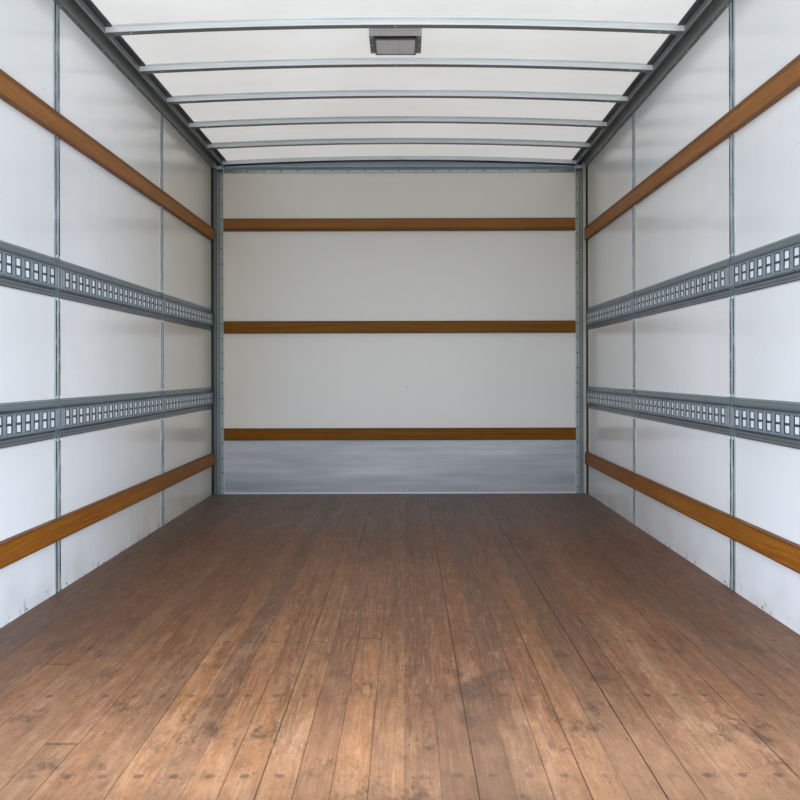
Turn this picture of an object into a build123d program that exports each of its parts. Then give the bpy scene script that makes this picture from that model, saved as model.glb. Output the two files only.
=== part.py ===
from build123d import *
import math
import os

# A box truck's cargo body: floor, walls, roof, rear frame and a pair of rear swing doors.
# X points to the right-hand side, Y forward to the front wall, Z up from the sills' undersides.
# The origin is on the ground below the middle of the body. All sizes are in millimetres.

# Load space
inner_width = 2440
inner_length = 4880
inner_height = 2190
roof_crown = 32

# Walls and the rails that hold them
wall = 19
rail_lap = 6
lap = 3
front_panel_length = 1085
panel_pitch = 1240
panel_count = 4
panel_gap = 1
corner_inset = 28
corner_lap = 42
corner_radius = 50
corner_leg = 78
corner_return = 30
corner_ribs = ((28, 22, 9), (9, 6, 13))
top_radius = 36
crown_steps = 8

# Understructure
sill_depth = 102
sill_flange = 44
sill_thickness = 6
sill_spread = 864
bolt_pitch = 3600
bolt_radius = 9
member_depth = 76
member_flange = 41
member_thickness = 4
member_pitch = 390
member_count = 12
front_member = 133
plank_thickness = 30
plank_count = 7
plank_gap = 1
plank_lap = 8
rail_box_width = 55
rail_box_wall = 4
rail_skirt = 122

# Top rail, measured down from the eave or inboard from the wall
eave_to_outer_foot = 68
eave_to_inner_foot = 35
eave_to_pocket = 28
eave_to_cove_start = 18
eave_to_cove = 4
eave_to_lip = 22
cove_width = 68
lip_width = 8
ledge_width = 29
ledge_thickness = 3
skin_edge = 15
skin_thickness = 2

# Roof bows
bow_pitch = 406.4
first_bow = 408
bow_width = 34
bow_depth = 25
bow_flange = 14
bow_metal = 2

# Rear frame
frame_depth = 75
post_reach = 22
header_drop = 58
tube_wall = 5
rear_sill_drop = 146

# Doors and hinges
door_gap = 5
door_thickness = 40
door_proud = 5
door_border = 50
door_inset = 3
open_angle = 270
pin_back = 15
pin_out = 34
pin_radius = 6
pin_play = 0.3
knuckle_radius = 12
strap_height = 50
strap_length = 360
strap_thickness = 6
lug_height = 38
lug_gap = 1
lug_plate = 6
hinge_heights = (170, 760, 1350, 1940)
gasket_width = 20
gasket_thickness = 3

# Lock rods
rod_from_centre = 250
rod_stand_off = 18
rod_radius = 11
rod_overrun = 42
cam_height = 30
cam_depth = 26
cam_nose = 34
handle_height = 1050
handle_length = 330
handle_width = 26
handle_thickness = 10
guide_heights = (120, 700, 1400, 1980)
guide_radius = 15
guide_height = 44
guide_foot = 70
guide_foot_thickness = 4
keeper_clearance = 24
keeper_size = 32
keeper_reach = 25
keeper_slot = 12

# Inside fittings, heights above the floor
post_width = 50
post_base = 1.5
post_rib = 4.5
post_rib_width = 11
post_rib_offset = 14
strip_thickness = 3
fit = 0.3
slat_thickness = 22
side_slat_heights = ((194, 270), (1646, 1722))
front_slat_heights = ((350, 428), (1046, 1124), (1711, 1790))
scuff_thickness = 2
track_heights = (558, 1064)
track_height = 140
track_depth = 12.5
track_metal = 2.5
track_foot = 25
track_bevel = 8
track_gap = 1
slots_per_panel = 20
slot_width = 36
slot_height = 54
slot_bar = 8
header_foot = 69
header_step = 42
header_band = 8
header_strip = 40
lamp_width = 213
lamp_length = 220
lamp_depth = 40
lamp_slope = 22
lens_width = 160
lens_length = 146
lens_depth = 4
lens_offset = 14
lens_corner = 10
lamp_bow = 4

# Lamps outside
tail_lamp_radius = 50
tail_lamp_stick_out = 10
tail_lamp_depth = 24
tail_lamp_places = (80, 205)
marker_width = 64
marker_height = 22
marker_stick_out = 9
marker_spread = 150
marker_inset = 115

# Levels and faces that follow from these sizes
half_in = inner_width / 2
half_out = half_in + wall
half_body = half_out + rail_lap
z_members = sill_depth
z_deck = z_members + member_depth
z_floor = z_deck + plank_thickness
z_roof = z_floor + inner_height
skin_half = half_in - skin_edge
roof_radius = (skin_half**2 + roof_crown**2) / (2 * roof_crown)
z_eave = z_roof - roof_crown
z_pocket = z_eave - eave_to_pocket
z_inner_foot = z_eave - eave_to_inner_foot
z_outer_foot = z_eave - eave_to_outer_foot
z_header = z_eave - header_drop
z_sill_bottom = z_floor - rear_sill_drop
z_skirt = z_deck + rail_skirt
rear_reach = pin_back + knuckle_radius
y_rear = -(rear_reach + inner_length + wall + rail_lap) / 2 + rear_reach
y_walls = y_rear + frame_depth
y_front = y_rear + inner_length
seams = [y_front - front_panel_length - panel_pitch * n for n in range(panel_count - 1)]
post_inside = half_in - post_reach
lip_inside = half_in - cove_width - lip_width
ledge_inside = lip_inside - ledge_width
notch = ledge_thickness + fit
pin_x = half_body + pin_out
pin_y = y_rear - pin_back
door_edge = post_inside - door_gap
door_bottom = z_floor + door_gap
door_top = z_header - door_gap
door_face = y_rear - door_proud
rod_y = door_face - rod_stand_off
pin_axis = Axis((pin_x, pin_y, 0), (0, 0, 1))
rearwards = (0, -1, 0)

os.makedirs("parts", exist_ok=True)


def save(part, name):
    part.label = name
    export_step(part, f"parts/{name}.step")


def save_pair(part, name):
    """The right-hand piece and its mirror image on the left."""
    save(part, f"{name}_right")
    save(mirror(part, about=Plane.YZ), f"{name}_left")


def across(y):
    """The upright plane across the body at y, whose extrusions run rearwards."""
    return Plane.XZ.offset(-y)


def roof_z(x):
    """Height of the roof skin's underside at a distance x from the centre line."""
    return z_roof - roof_radius + math.sqrt(roof_radius**2 - x**2)


def crown_band(y, half, top, bottom):
    """A slice along the roof's arc, between two heights above the skin's underside."""
    with BuildSketch(across(y)) as band:
        with BuildLine():
            end = roof_z(half)
            over = ThreePointArc((-half, end + top), (0, z_roof + top), (half, end + top))
            under = ThreePointArc((-half, end + bottom), (0, z_roof + bottom), (half, end + bottom))
            Line(over @ 0, under @ 0)
            Line(over @ 1, under @ 1)
        make_face()
    return band.sketch


# Understructure


def sill():
    """A channel that lies on the chassis rail, its open side inboard."""
    y_end = y_front - corner_inset
    with BuildPart() as channel:
        with BuildSketch(across(y_end)):
            with Locations((sill_spread / 2, 0)):
                Rectangle(sill_flange, sill_depth, align=(Align.MAX, Align.MIN))
            with Locations((sill_spread / 2 - sill_thickness, sill_thickness)):
                Rectangle(
                    sill_flange,
                    sill_depth - 2 * sill_thickness,
                    align=(Align.MAX, Align.MIN),
                    mode=Mode.SUBTRACT,
                )
        extrude(amount=y_end - y_walls)
        with Locations(*[((sill_spread - sill_flange) / 2, side * bolt_pitch / 2)
                         for side in (-1, 1)]):
            Cylinder(bolt_radius, 2 * sill_thickness, mode=Mode.SUBTRACT)
    return channel.part


def crossmembers():
    """Channels across the sills, under the planks."""
    half = half_out + rail_lap - rail_box_width
    rows = [y_front - front_member - member_pitch * n for n in range(member_count)]
    rows.append(y_walls + member_flange)
    with BuildPart() as members:
        with BuildSketch(Plane.YZ):
            with Locations(*[(y, z_members) for y in rows]):
                Rectangle(member_flange, member_depth, align=(Align.CENTER, Align.MIN))
            with Locations(*[(y + member_thickness, z_members + member_thickness) for y in rows]):
                Rectangle(
                    member_flange,
                    member_depth - 2 * member_thickness,
                    align=(Align.CENTER, Align.MIN),
                    mode=Mode.SUBTRACT,
                )
        extrude(amount=half, both=True)
    return members.part


def floor_planks():
    """Boards laid lengthwise, each with a lap under the next."""
    width = inner_width / plank_count
    z_middle = z_deck + plank_thickness / 2
    with BuildPart() as planks:
        with BuildSketch(across(y_front)):
            for n in range(plank_count):
                left = width * n - half_in
                under = plank_lap if n > 0 else 0
                with Locations((left, z_middle)):
                    Rectangle(width - plank_gap, plank_thickness / 2, align=(Align.MIN, Align.MIN))
                with Locations((left + under, z_deck)):
                    Rectangle(
                        width - plank_gap - under, plank_thickness / 2, align=(Align.MIN, Align.MIN)
                    )
            with Locations(*[(width * n - half_in - plank_gap, z_deck) for n in range(1, plank_count)]):
                Rectangle(plank_lap, plank_thickness / 2 - plank_gap, align=(Align.MIN, Align.MIN))
        extrude(amount=y_front - y_walls)
    return planks.part


def rail_section(outer, wall_face):
    """Closed box under the floor's edge and a skirt up the outside of the wall."""
    inside = outer - rail_box_width
    with BuildSketch() as section:
        with BuildLine():
            Polyline(
                (inside, z_members),
                (outer, z_members),
                (outer, z_skirt),
                (wall_face, z_skirt),
                (wall_face, z_deck),
                (inside, z_deck),
                close=True,
            )
        make_face()
        with Locations(((inside + outer) / 2, (z_members + z_deck) / 2)):
            Rectangle(
                rail_box_width - 2 * rail_box_wall,
                member_depth - 2 * rail_box_wall,
                mode=Mode.SUBTRACT,
            )
        with Locations((outer, z_deck + rail_skirt / 2)):
            Rectangle(rail_lap / 2, rail_skirt / 2, align=(Align.MAX, Align.CENTER), mode=Mode.SUBTRACT)
    return section.sketch


def bottom_rail():
    y_end = y_front - corner_inset - corner_lap
    with BuildPart() as rail:
        section = across(y_end) * rail_section(half_body, half_out)
        extrude(section, amount=y_end - y_walls, dir=rearwards)
    return rail.part


def front_bottom_rail():
    half = half_in - corner_inset - corner_lap
    with BuildPart() as rail:
        section = Plane.YZ * rail_section(y_front + wall + rail_lap, y_front + wall)
        extrude(section, amount=half, dir=(1, 0, 0), both=True)
    return rail.part


# Walls


def side_panel(y_high, y_low):
    with BuildPart() as panel:
        with BuildSketch(Plane.XY.offset(z_deck)):
            with Locations((half_in, y_low)):
                Rectangle(wall, y_high - y_low, align=(Align.MIN, Align.MIN))
        extrude(amount=z_pocket - z_deck)
    return panel.part


def front_panel():
    with BuildPart() as panel:
        with BuildSketch(Plane.XY.offset(z_deck)):
            with Locations((0, y_front)):
                Rectangle(2 * (half_in - corner_inset), wall, align=(Align.CENTER, Align.MIN))
        extrude(amount=z_pocket - z_deck)
    return panel.part


def wall_posts():
    """Ribbed strip inside and flat strip outside over each joint between panels."""
    half = post_width / 2
    with BuildPart() as posts:
        with BuildSketch(Plane.XY.offset(z_floor)):
            with Locations(*[(half_in, y) for y in seams]):
                Rectangle(post_base, post_width, align=(Align.MAX, Align.CENTER))
            with Locations(*[(half_in, y + post_rib_offset * s) for y in seams for s in (-1, 1)]):
                Rectangle(post_rib, post_rib_width, align=(Align.MAX, Align.CENTER))
        extrude(amount=z_inner_foot - z_floor)
        with BuildSketch(Plane.XY.offset(z_skirt)):
            with Locations(*[(half_out, y) for y in seams]):
                Rectangle(strip_thickness, 2 * half, align=(Align.MIN, Align.CENTER))
        extrude(amount=z_outer_foot - z_skirt)
    return posts.part


def front_corner():
    """Rounded outer post that holds the side and front panels' edges."""
    outer = half_out + lap
    y_outer = y_front + wall + lap
    with BuildPart() as corner:
        with BuildSketch(Plane.XY.offset(z_members)):
            with BuildLine():
                Polyline(
                    (outer - corner_radius, y_outer),
                    (half_in - corner_inset - corner_lap, y_outer),
                    (half_in - corner_inset - corner_lap, y_front + wall),
                    (half_in - corner_inset, y_front + wall),
                    (half_in - corner_inset, y_front),
                    (half_in, y_front),
                    (half_in, y_front - corner_inset),
                    (half_out, y_front - corner_inset),
                    (half_out, y_front - corner_inset - corner_lap),
                    (outer, y_front - corner_inset - corner_lap),
                    (outer, y_outer - corner_radius),
                )
                RadiusArc((outer, y_outer - corner_radius), (outer - corner_radius, y_outer), -corner_radius)
            make_face()
        extrude(amount=z_outer_foot - z_members)
    return corner.part


def inner_corner():
    """Angle down the inside of the front corner, ribbed on its wide leg."""
    with BuildPart() as angle:
        with BuildSketch(Plane.XY.offset(z_floor)):
            with Locations((half_in, y_front)):
                Rectangle(corner_leg, lap, align=(Align.MAX, Align.MAX))
                Rectangle(lap, corner_return, align=(Align.MAX, Align.MAX))
            for place, width, depth in corner_ribs:
                with Locations((half_in - place, y_front)):
                    Rectangle(width, depth, align=(Align.MAX, Align.MAX))
        extrude(amount=z_inner_foot - z_floor)
    return angle.part


# Roof


def top_rail_section(y):
    """Cove and lip inside, ledge for the skin and bows, rounded shoulder outside."""
    outer = half_out + lap
    with BuildSketch(across(y)) as section:
        with BuildLine():
            foot = Polyline(
                (half_in, z_pocket),
                (half_in, z_inner_foot),
                (half_in - lap, z_inner_foot),
                (half_in - lap, z_eave - eave_to_cove_start),
            )
            cove = ThreePointArc(
                foot @ 1,
                (half_in - cove_width / 2, z_eave - eave_to_cove),
                (lip_inside + lip_width, z_eave - eave_to_lip),
            )
            ledge = Polyline(
                cove @ 1,
                (lip_inside, z_eave - eave_to_lip),
                (lip_inside, roof_z(lip_inside) - ledge_thickness),
                (ledge_inside, roof_z(ledge_inside) - ledge_thickness),
                (ledge_inside, roof_z(ledge_inside)),
                (skin_half, z_eave),
                (skin_half, z_eave + skin_thickness),
                (outer - top_radius, z_eave + skin_thickness),
            )
            shoulder = RadiusArc(
                ledge @ 1, (outer, z_eave + skin_thickness - top_radius), top_radius
            )
            Polyline(
                shoulder @ 1,
                (outer, z_outer_foot),
                (half_out, z_outer_foot),
                (half_out, z_pocket),
                (half_in, z_pocket),
            )
        make_face()
    return section.sketch


def top_rail():
    """Side rail of the roof; its inner part runs on past the casting to the front wall."""
    y_end = y_front - corner_inset
    with BuildPart() as rail:
        extrude(top_rail_section(y_front), amount=y_front - y_walls, dir=rearwards)
        with BuildSketch(across(y_front)):
            with Locations((half_in, z_outer_foot)):
                Rectangle(wall + lap, 2 * eave_to_outer_foot, align=(Align.MIN, Align.MIN))
        extrude(amount=y_front - y_end, mode=Mode.SUBTRACT)
    return rail.part


def top_corner():
    """Cast corner where the two roof rails and the corner post meet."""
    centre = half_out + lap - corner_radius
    y_centre = y_front + wall + lap - corner_radius
    with BuildPart() as casting:
        with BuildSketch(across(y_centre)):
            with BuildLine():
                top = Line((centre, z_eave + skin_thickness), (centre + corner_radius - top_radius, z_eave + skin_thickness))
                shoulder = RadiusArc(
                    top @ 1, (centre + corner_radius, z_eave + skin_thickness - top_radius), top_radius
                )
                Polyline(
                    shoulder @ 1,
                    (centre + corner_radius, z_outer_foot),
                    (centre, z_outer_foot),
                    (centre, z_eave + skin_thickness),
                )
            make_face()
        revolve(axis=Axis((centre, y_centre, 0), (0, 0, 1)), revolution_arc=90)
        with BuildSketch(Plane.XY.offset(z_outer_foot)):
            with Locations((half_in, y_front)):
                Rectangle(2 * corner_radius, 2 * corner_radius, align=(Align.MAX, Align.MAX))
        extrude(amount=2 * corner_radius + eave_to_outer_foot, mode=Mode.SUBTRACT)
    return casting.part


def front_top_rail():
    """Crowned rail over the front panel, between the two castings, its crown in short straights."""
    half = half_in - corner_inset
    y_face = y_front + wall + lap
    stations = [half * (2 * n / crown_steps - 1) for n in range(crown_steps + 1)]
    crown = [(x, roof_z(x) + skin_thickness) for x in stations]
    with BuildPart() as rail:
        with BuildSketch(across(y_face)):
            with BuildLine():
                Polyline(*crown, (half, z_pocket), (-half, z_pocket), close=True)
            make_face()
        extrude(amount=y_face - y_front + skin_edge)
        outer_edges = rail.edges().group_by(Axis.Y)[-1]
        fillet([edge for edge in outer_edges if edge.center().Z > z_eave], radius=top_radius)
        with BuildSketch(Plane.XY.offset(z_pocket)):
            for side in (-1, 1):
                with Locations((side * half_in, y_front)):
                    Rectangle(
                        2 * (half_in - ledge_inside + fit), skin_edge, align=(Align.CENTER, Align.MAX)
                    )
        extrude(amount=top_radius + roof_crown, mode=Mode.SUBTRACT)
        with BuildSketch(across(y_face)):
            with Locations((0, z_outer_foot)):
                Rectangle(2 * half, z_pocket - z_outer_foot, align=(Align.CENTER, Align.MIN))
        extrude(amount=lap)
    return rail.part


def front_header():
    """Flanged band and crowned strip along the top of the front wall, inside."""
    z_foot = z_eave - header_foot
    z_step = z_eave - header_step
    with BuildPart() as header:
        with BuildSketch(Plane.YZ):
            with BuildLine():
                Polyline(
                    (y_front, z_foot),
                    (y_front - lap, z_foot),
                    (y_front - lap, z_step),
                    (y_front - header_band, z_step + header_band),
                    (y_front - header_band, z_pocket - header_band),
                    (y_front - skin_edge - header_band, z_pocket - header_band),
                    (y_front - skin_edge - header_band, z_eave),
                    (y_front - skin_edge, z_eave),
                    (y_front - skin_edge, z_pocket),
                    (y_front, z_pocket),
                    close=True,
                )
            make_face()
        extrude(amount=half_in - corner_leg - fit, both=True)
        extrude(
            crown_band(y_front - skin_edge, lip_inside, -notch, -bow_depth),
            amount=header_strip - skin_edge,
            dir=rearwards,
        )
        extrude(
            crown_band(y_front - skin_edge, ledge_inside, 0, -notch),
            amount=header_strip - skin_edge,
            dir=rearwards,
        )
    return header.part


def roof_bows():
    """Hat-section bows that follow the crown, their ends notched under the rails' ledges."""
    count = int((inner_length - frame_depth - first_bow - bow_width) / bow_pitch) + 1
    with BuildPart() as bows:
        for n in range(count):
            y = y_front - first_bow - bow_pitch * n
            extrude(
                crown_band(y + bow_width / 2, lip_inside, -notch, -bow_depth),
                amount=bow_width,
                dir=rearwards,
            )
            extrude(
                crown_band(y + bow_width / 2 - bow_metal, lip_inside, 0, bow_metal - bow_depth),
                amount=bow_width - 2 * bow_metal,
                dir=rearwards,
                mode=Mode.SUBTRACT,
            )
            for edge in (bow_width / 2 + bow_flange, bow_metal - bow_width / 2):
                extrude(
                    crown_band(y + edge, ledge_inside, 0, -notch),
                    amount=bow_flange + bow_metal,
                    dir=rearwards,
                )
    return bows.part


def roof_skin():
    with BuildPart() as skin:
        extrude(
            crown_band(y_front - skin_edge, skin_half, skin_thickness, 0),
            amount=y_front - skin_edge - y_walls,
            dir=rearwards,
        )
    return skin.part


# Rear frame


def rear_post():
    with BuildPart() as post:
        with BuildSketch(Plane.XY.offset(z_floor)):
            with Locations((half_body, y_rear)):
                Rectangle(half_body - post_inside, frame_depth, align=(Align.MAX, Align.MIN))
            with Locations((half_body - tube_wall, y_rear + tube_wall)):
                Rectangle(
                    half_body - post_inside - 2 * tube_wall,
                    frame_depth - 2 * tube_wall,
                    align=(Align.MAX, Align.MIN),
                    mode=Mode.SUBTRACT,
                )
        extrude(amount=z_header - z_floor)
    return post.part


def keeper(z_low):
    """Block beside the lock rod, slotted for the cam's nose."""
    inside = rod_from_centre + keeper_clearance
    with BuildPart() as block:
        with BuildSketch(Plane.XY.offset(z_low)):
            for side in (-1, 1):
                with Locations((side * (inside + keeper_size / 2), y_rear)):
                    Rectangle(keeper_size, keeper_reach, align=(Align.CENTER, Align.MAX))
                    Rectangle(
                        keeper_size - keeper_slot,
                        keeper_slot,
                        align=(Align.CENTER, Align.MAX),
                        mode=Mode.SUBTRACT,
                    )
        extrude(amount=keeper_size)
    return block.part


def rear_header():
    """Head of the door frame, crowned to the roof, with the upper cam keepers."""
    shoulder = top_radius + rail_lap - lap
    with BuildPart() as header:
        with BuildSketch(across(y_walls)):
            with BuildLine():
                start = half_body - shoulder
                end = roof_z(start) + skin_thickness
                crown = ThreePointArc((-start, end), (0, z_roof + skin_thickness), (start, end))
                right = RadiusArc(crown @ 1, (half_body, end - shoulder), shoulder)
                left = RadiusArc(crown @ 0, (-half_body, end - shoulder), -shoulder)
                Polyline(right @ 1, (half_body, z_header), (-half_body, z_header), left @ 1)
            make_face()
        extrude(amount=frame_depth)
        add(keeper(z_header + rod_overrun - keeper_size))
    return header.part


def rear_sill():
    """Tube across the back under the floor, with lamp holes and the lower cam keepers."""
    z_lamps = (z_sill_bottom + z_floor) / 2
    with BuildPart() as beam:
        with BuildSketch(Plane.YZ):
            with Locations((y_rear, z_sill_bottom)):
                Rectangle(frame_depth, rear_sill_drop, align=(Align.MIN, Align.MIN))
            with Locations((y_rear + tube_wall, z_sill_bottom + tube_wall)):
                Rectangle(
                    frame_depth - 2 * tube_wall,
                    rear_sill_drop - 2 * tube_wall,
                    align=(Align.MIN, Align.MIN),
                    mode=Mode.SUBTRACT,
                )
        extrude(amount=half_body, both=True)
        with BuildSketch(Plane.YZ.offset(half_body)):
            with Locations((y_rear, z_sill_bottom)):
                Rectangle(frame_depth, rear_sill_drop, align=(Align.MIN, Align.MIN))
        extrude(amount=-tube_wall)
        mirror(about=Plane.YZ)
        with BuildSketch(across(y_rear)):
            with Locations(*[(s * (half_body - place), z_lamps) for place in tail_lamp_places for s in (-1, 1)]):
                Circle(tail_lamp_radius + fit)
        extrude(amount=-tube_wall, mode=Mode.SUBTRACT)
        add(keeper(z_floor - rod_overrun))
    return beam.part


def hinge_lugs():
    """Two lugs for each hinge, on the post's rear face, bored for the pin."""
    inside = post_inside + door_gap
    rise = strap_height / 2 + lug_gap
    with BuildPart() as lugs:
        for height in hinge_heights:
            for z_low in (z_floor + height + rise, z_floor + height - rise - lug_height):
                with BuildSketch(Plane.XY.offset(z_low)):
                    with Locations((inside, y_rear)):
                        Rectangle(pin_x - inside, lug_plate, align=(Align.MIN, Align.MAX))
                    with Locations((pin_x, pin_y)):
                        Circle(knuckle_radius)
                        Circle(pin_radius + pin_play, mode=Mode.SUBTRACT)
                extrude(amount=lug_height)
    return lugs.part


# Doors: each is laid out closed, on the right, then swung open


def door_frame():
    width = door_edge - door_gap
    height = door_top - door_bottom
    with BuildPart() as frame:
        with BuildSketch(across(door_face)):
            with Locations(((door_edge + door_gap) / 2, (door_bottom + door_top) / 2)):
                Rectangle(width, height)
                Rectangle(width - 2 * door_border, height - 2 * door_border, mode=Mode.SUBTRACT)
        extrude(amount=-door_thickness)
    return frame.part


def door_panel():
    width = door_edge - door_gap - 2 * door_border
    height = door_top - door_bottom - 2 * door_border
    with BuildPart() as panel:
        with BuildSketch(across(door_face + door_inset)):
            with Locations(((door_edge + door_gap) / 2, (door_bottom + door_top) / 2)):
                Rectangle(width, height)
        extrude(amount=-(door_thickness - 2 * door_inset))
    return panel.part


def gasket():
    width = door_edge - door_gap - 2 * door_inset
    height = door_top - door_bottom - 2 * door_inset
    with BuildPart() as seal:
        with BuildSketch(across(door_face + door_thickness)):
            with Locations(((door_edge + door_gap) / 2, (door_bottom + door_top) / 2)):
                Rectangle(width, height)
                Rectangle(width - 2 * gasket_width, height - 2 * gasket_width, mode=Mode.SUBTRACT)
        extrude(amount=-gasket_thickness)
    return seal.part


def hinge_straps():
    """Tapered straps across the door, each with its knuckle and pin."""
    pin_length = strap_height + 2 * (lug_gap + lug_height)
    half = strap_height / 2
    with BuildPart() as straps:
        for height in hinge_heights:
            z = z_floor + height
            with BuildSketch(across(door_face)):
                with BuildLine():
                    Polyline(
                        (pin_x, z - half),
                        (pin_x, z + half),
                        (door_edge - door_border, z + half),
                        (pin_x - strap_length, z + half / 2),
                        (pin_x - strap_length, z - half / 2),
                        (door_edge - door_border, z - half),
                        close=True,
                    )
                make_face()
            extrude(amount=strap_thickness)
            with BuildSketch(Plane.XY.offset(z - half)):
                with Locations((pin_x, pin_y)):
                    Circle(knuckle_radius)
            extrude(amount=strap_height)
            with BuildSketch(Plane.XY.offset(z - pin_length / 2)):
                with Locations((pin_x, pin_y)):
                    Circle(pin_radius)
            extrude(amount=pin_length)
    return straps.part


def lock_rod():
    """Upright rod with a cam at each end and a flat handle, turned to unlocked."""
    z_low = z_floor - rod_overrun
    z_high = z_header + rod_overrun
    with BuildPart() as rod:
        with BuildSketch(Plane.XY.offset(z_low)):
            with Locations((rod_from_centre, rod_y)):
                Circle(rod_radius)
        extrude(amount=z_high - z_low)
        for z in (z_low, z_high - cam_height):
            with BuildSketch(Plane.XY.offset(z)):
                with Locations((rod_from_centre, rod_y)):
                    Circle(cam_depth / 2)
                    Rectangle(cam_nose, cam_depth / 2, align=(Align.MAX, Align.CENTER))
            extrude(amount=cam_height)
        with BuildSketch(Plane.XY.offset(z_floor + handle_height)):
            with Locations((rod_from_centre, rod_y)):
                Circle(guide_radius)
                SlotCenterPoint((handle_length / 2, 0), (handle_length, 0), handle_thickness)
                Rectangle(handle_length / 2, handle_thickness, align=(Align.MIN, Align.CENTER))
        extrude(amount=handle_width)
    return rod.part


def rod_guides():
    with BuildPart() as guides:
        for height in guide_heights:
            z_low = z_floor + height - guide_height / 2
            with BuildSketch(Plane.XY.offset(z_low)):
                with Locations((rod_from_centre, door_face + door_inset)):
                    Rectangle(
                        guide_foot, guide_foot_thickness + door_inset, align=(Align.CENTER, Align.MAX)
                    )
                    Rectangle(
                        2 * guide_radius, rod_stand_off + door_inset, align=(Align.CENTER, Align.MAX)
                    )
                with Locations((rod_from_centre, rod_y)):
                    Circle(guide_radius)
                    Circle(rod_radius + pin_play, mode=Mode.SUBTRACT)
            extrude(amount=guide_height)
    return guides.part


# Inside fittings


def post_notches(z_low, z_high):
    """Room for the post strips, to be cut out of what crosses them between two heights."""
    with BuildPart() as notches:
        with Locations(*[(half_in, y, (z_low + z_high) / 2) for y in seams]):
            Box(2 * (post_rib + fit), post_width + 2 * fit, z_high - z_low)
    return notches.part


def side_slats():
    y_end = y_front - corner_return
    with BuildPart() as slats:
        for low, high in side_slat_heights:
            with BuildSketch(across(y_end)):
                with Locations((half_in, z_floor + low)):
                    Rectangle(slat_thickness, high - low, align=(Align.MAX, Align.MIN))
            extrude(amount=y_end - y_walls)
        add(post_notches(z_floor, z_inner_foot), mode=Mode.SUBTRACT)
    return slats.part


def front_slats():
    with BuildPart() as slats:
        for low, high in front_slat_heights:
            with BuildSketch(Plane.YZ):
                with Locations((y_front, z_floor + low)):
                    Rectangle(slat_thickness, high - low, align=(Align.MAX, Align.MIN))
            extrude(amount=half_in - corner_leg, both=True)
    return slats.part


def scuff_plate():
    with BuildPart() as plate:
        with BuildSketch(Plane.XY.offset(z_floor)):
            with Locations((0, y_front)):
                Rectangle(2 * (half_in - corner_leg), scuff_thickness, align=(Align.CENTER, Align.MAX))
        extrude(amount=front_slat_heights[0][0])
    return plate.part


def track_section(y, low):
    """Hat section with riveted feet, and the bar that divides the slots from behind."""
    high = low + track_height
    inside = half_in - track_depth
    face = track_foot + track_bevel
    with BuildSketch(across(y)) as section:
        with BuildLine():
            Polyline(
                (half_in, low),
                (half_in - track_metal, low),
                (half_in - track_metal, low + track_foot),
                (inside, low + face),
                (inside, high - face),
                (half_in - track_metal, high - track_foot),
                (half_in - track_metal, high),
                (half_in, high),
                (half_in, high - track_foot),
                (inside + track_metal, high - face),
                (inside + track_metal, low + face),
                (half_in, low + track_foot),
                close=True,
            )
        make_face()
    return section.sketch


def tracks():
    """Two rows of slotted track, in sections that meet at the panel joints."""
    pitch = panel_pitch / slots_per_panel
    inside = half_in - track_depth
    ends = [y_front - corner_return] + seams + [y_walls]
    with BuildPart() as rows:
        for low in [z_floor + height for height in track_heights]:
            middle = low + track_height / 2
            for y_high, y_low in zip(ends[:-1], ends[1:]):
                y_top = y_high - track_gap / 2
                length = y_high - y_low - track_gap
                count = int((length - slot_width / 2) / pitch)
                extrude(track_section(y_top, low), amount=length, dir=rearwards)
                with BuildSketch(Plane.YZ.offset(inside)):
                    with Locations(*[(y_low + pitch * (n + 1), middle) for n in range(count)]):
                        Rectangle(slot_width, slot_height)
                extrude(amount=track_metal, mode=Mode.SUBTRACT)
                with BuildSketch(across(y_top)):
                    with Locations((inside + track_metal, middle)):
                        Rectangle(track_metal, slot_bar, align=(Align.MIN, Align.CENTER))
                extrude(amount=length)
        add(post_notches(z_floor, z_inner_foot), mode=Mode.SUBTRACT)
    return rows.part


def lamp_place():
    """Where the dome light's rear edge lies, just forward of its bow."""
    return y_front - first_bow - bow_pitch * lamp_bow + bow_width / 2 + bow_flange + fit


def dome_light_housing():
    """Box with sloped ends, hung under the roof skin."""
    y_low = lamp_place()
    y_high = y_low + lamp_length
    z_top = roof_z(lamp_width / 2) - fit
    with BuildPart() as housing:
        with BuildSketch(Plane.YZ):
            with BuildLine():
                Polyline(
                    (y_low, z_top),
                    (y_high, z_top),
                    (y_high - lamp_slope, z_roof - lamp_depth),
                    (y_low + lamp_slope, z_roof - lamp_depth),
                    close=True,
                )
            make_face()
        extrude(amount=lamp_width / 2, both=True)
    return housing.part


def dome_light_lens():
    middle = lamp_place() + lamp_length / 2 + lens_offset
    with BuildPart() as lens:
        with BuildSketch(Plane.XY.offset(z_roof - lamp_depth)):
            with Locations((0, middle)):
                RectangleRounded(lens_width, lens_length, lens_corner)
        extrude(amount=-lens_depth)
    return lens.part


# Lamps outside


def tail_lamps():
    places = [(side * (half_body - place), (z_sill_bottom + z_floor) / 2)
              for place in tail_lamp_places for side in (-1, 1)]
    with BuildPart() as lamps:
        with BuildSketch(across(y_rear - tail_lamp_stick_out)):
            with Locations(*places):
                Circle(tail_lamp_radius)
        extrude(amount=-tail_lamp_depth)
    return lamps.part


def marker_lamps():
    """Three over the doors' meeting line and one near each end of the header."""
    height = (z_header + z_eave + skin_thickness) / 2
    corner = half_body - marker_inset
    with BuildPart() as lamps:
        with BuildSketch(across(y_rear)):
            with Locations(*[(x, height) for x in (-corner, -marker_spread, 0, marker_spread, corner)]):
                RectangleRounded(marker_width, marker_height, marker_height / 3)
        extrude(amount=marker_stick_out)
    return lamps.part


# The pieces, written one to a file

save_pair(sill(), "sill")
save(crossmembers(), "crossmembers")
save(floor_planks(), "floor_planks")
save_pair(bottom_rail(), "bottom_rail")
save(front_bottom_rail(), "front_bottom_rail")

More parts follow.
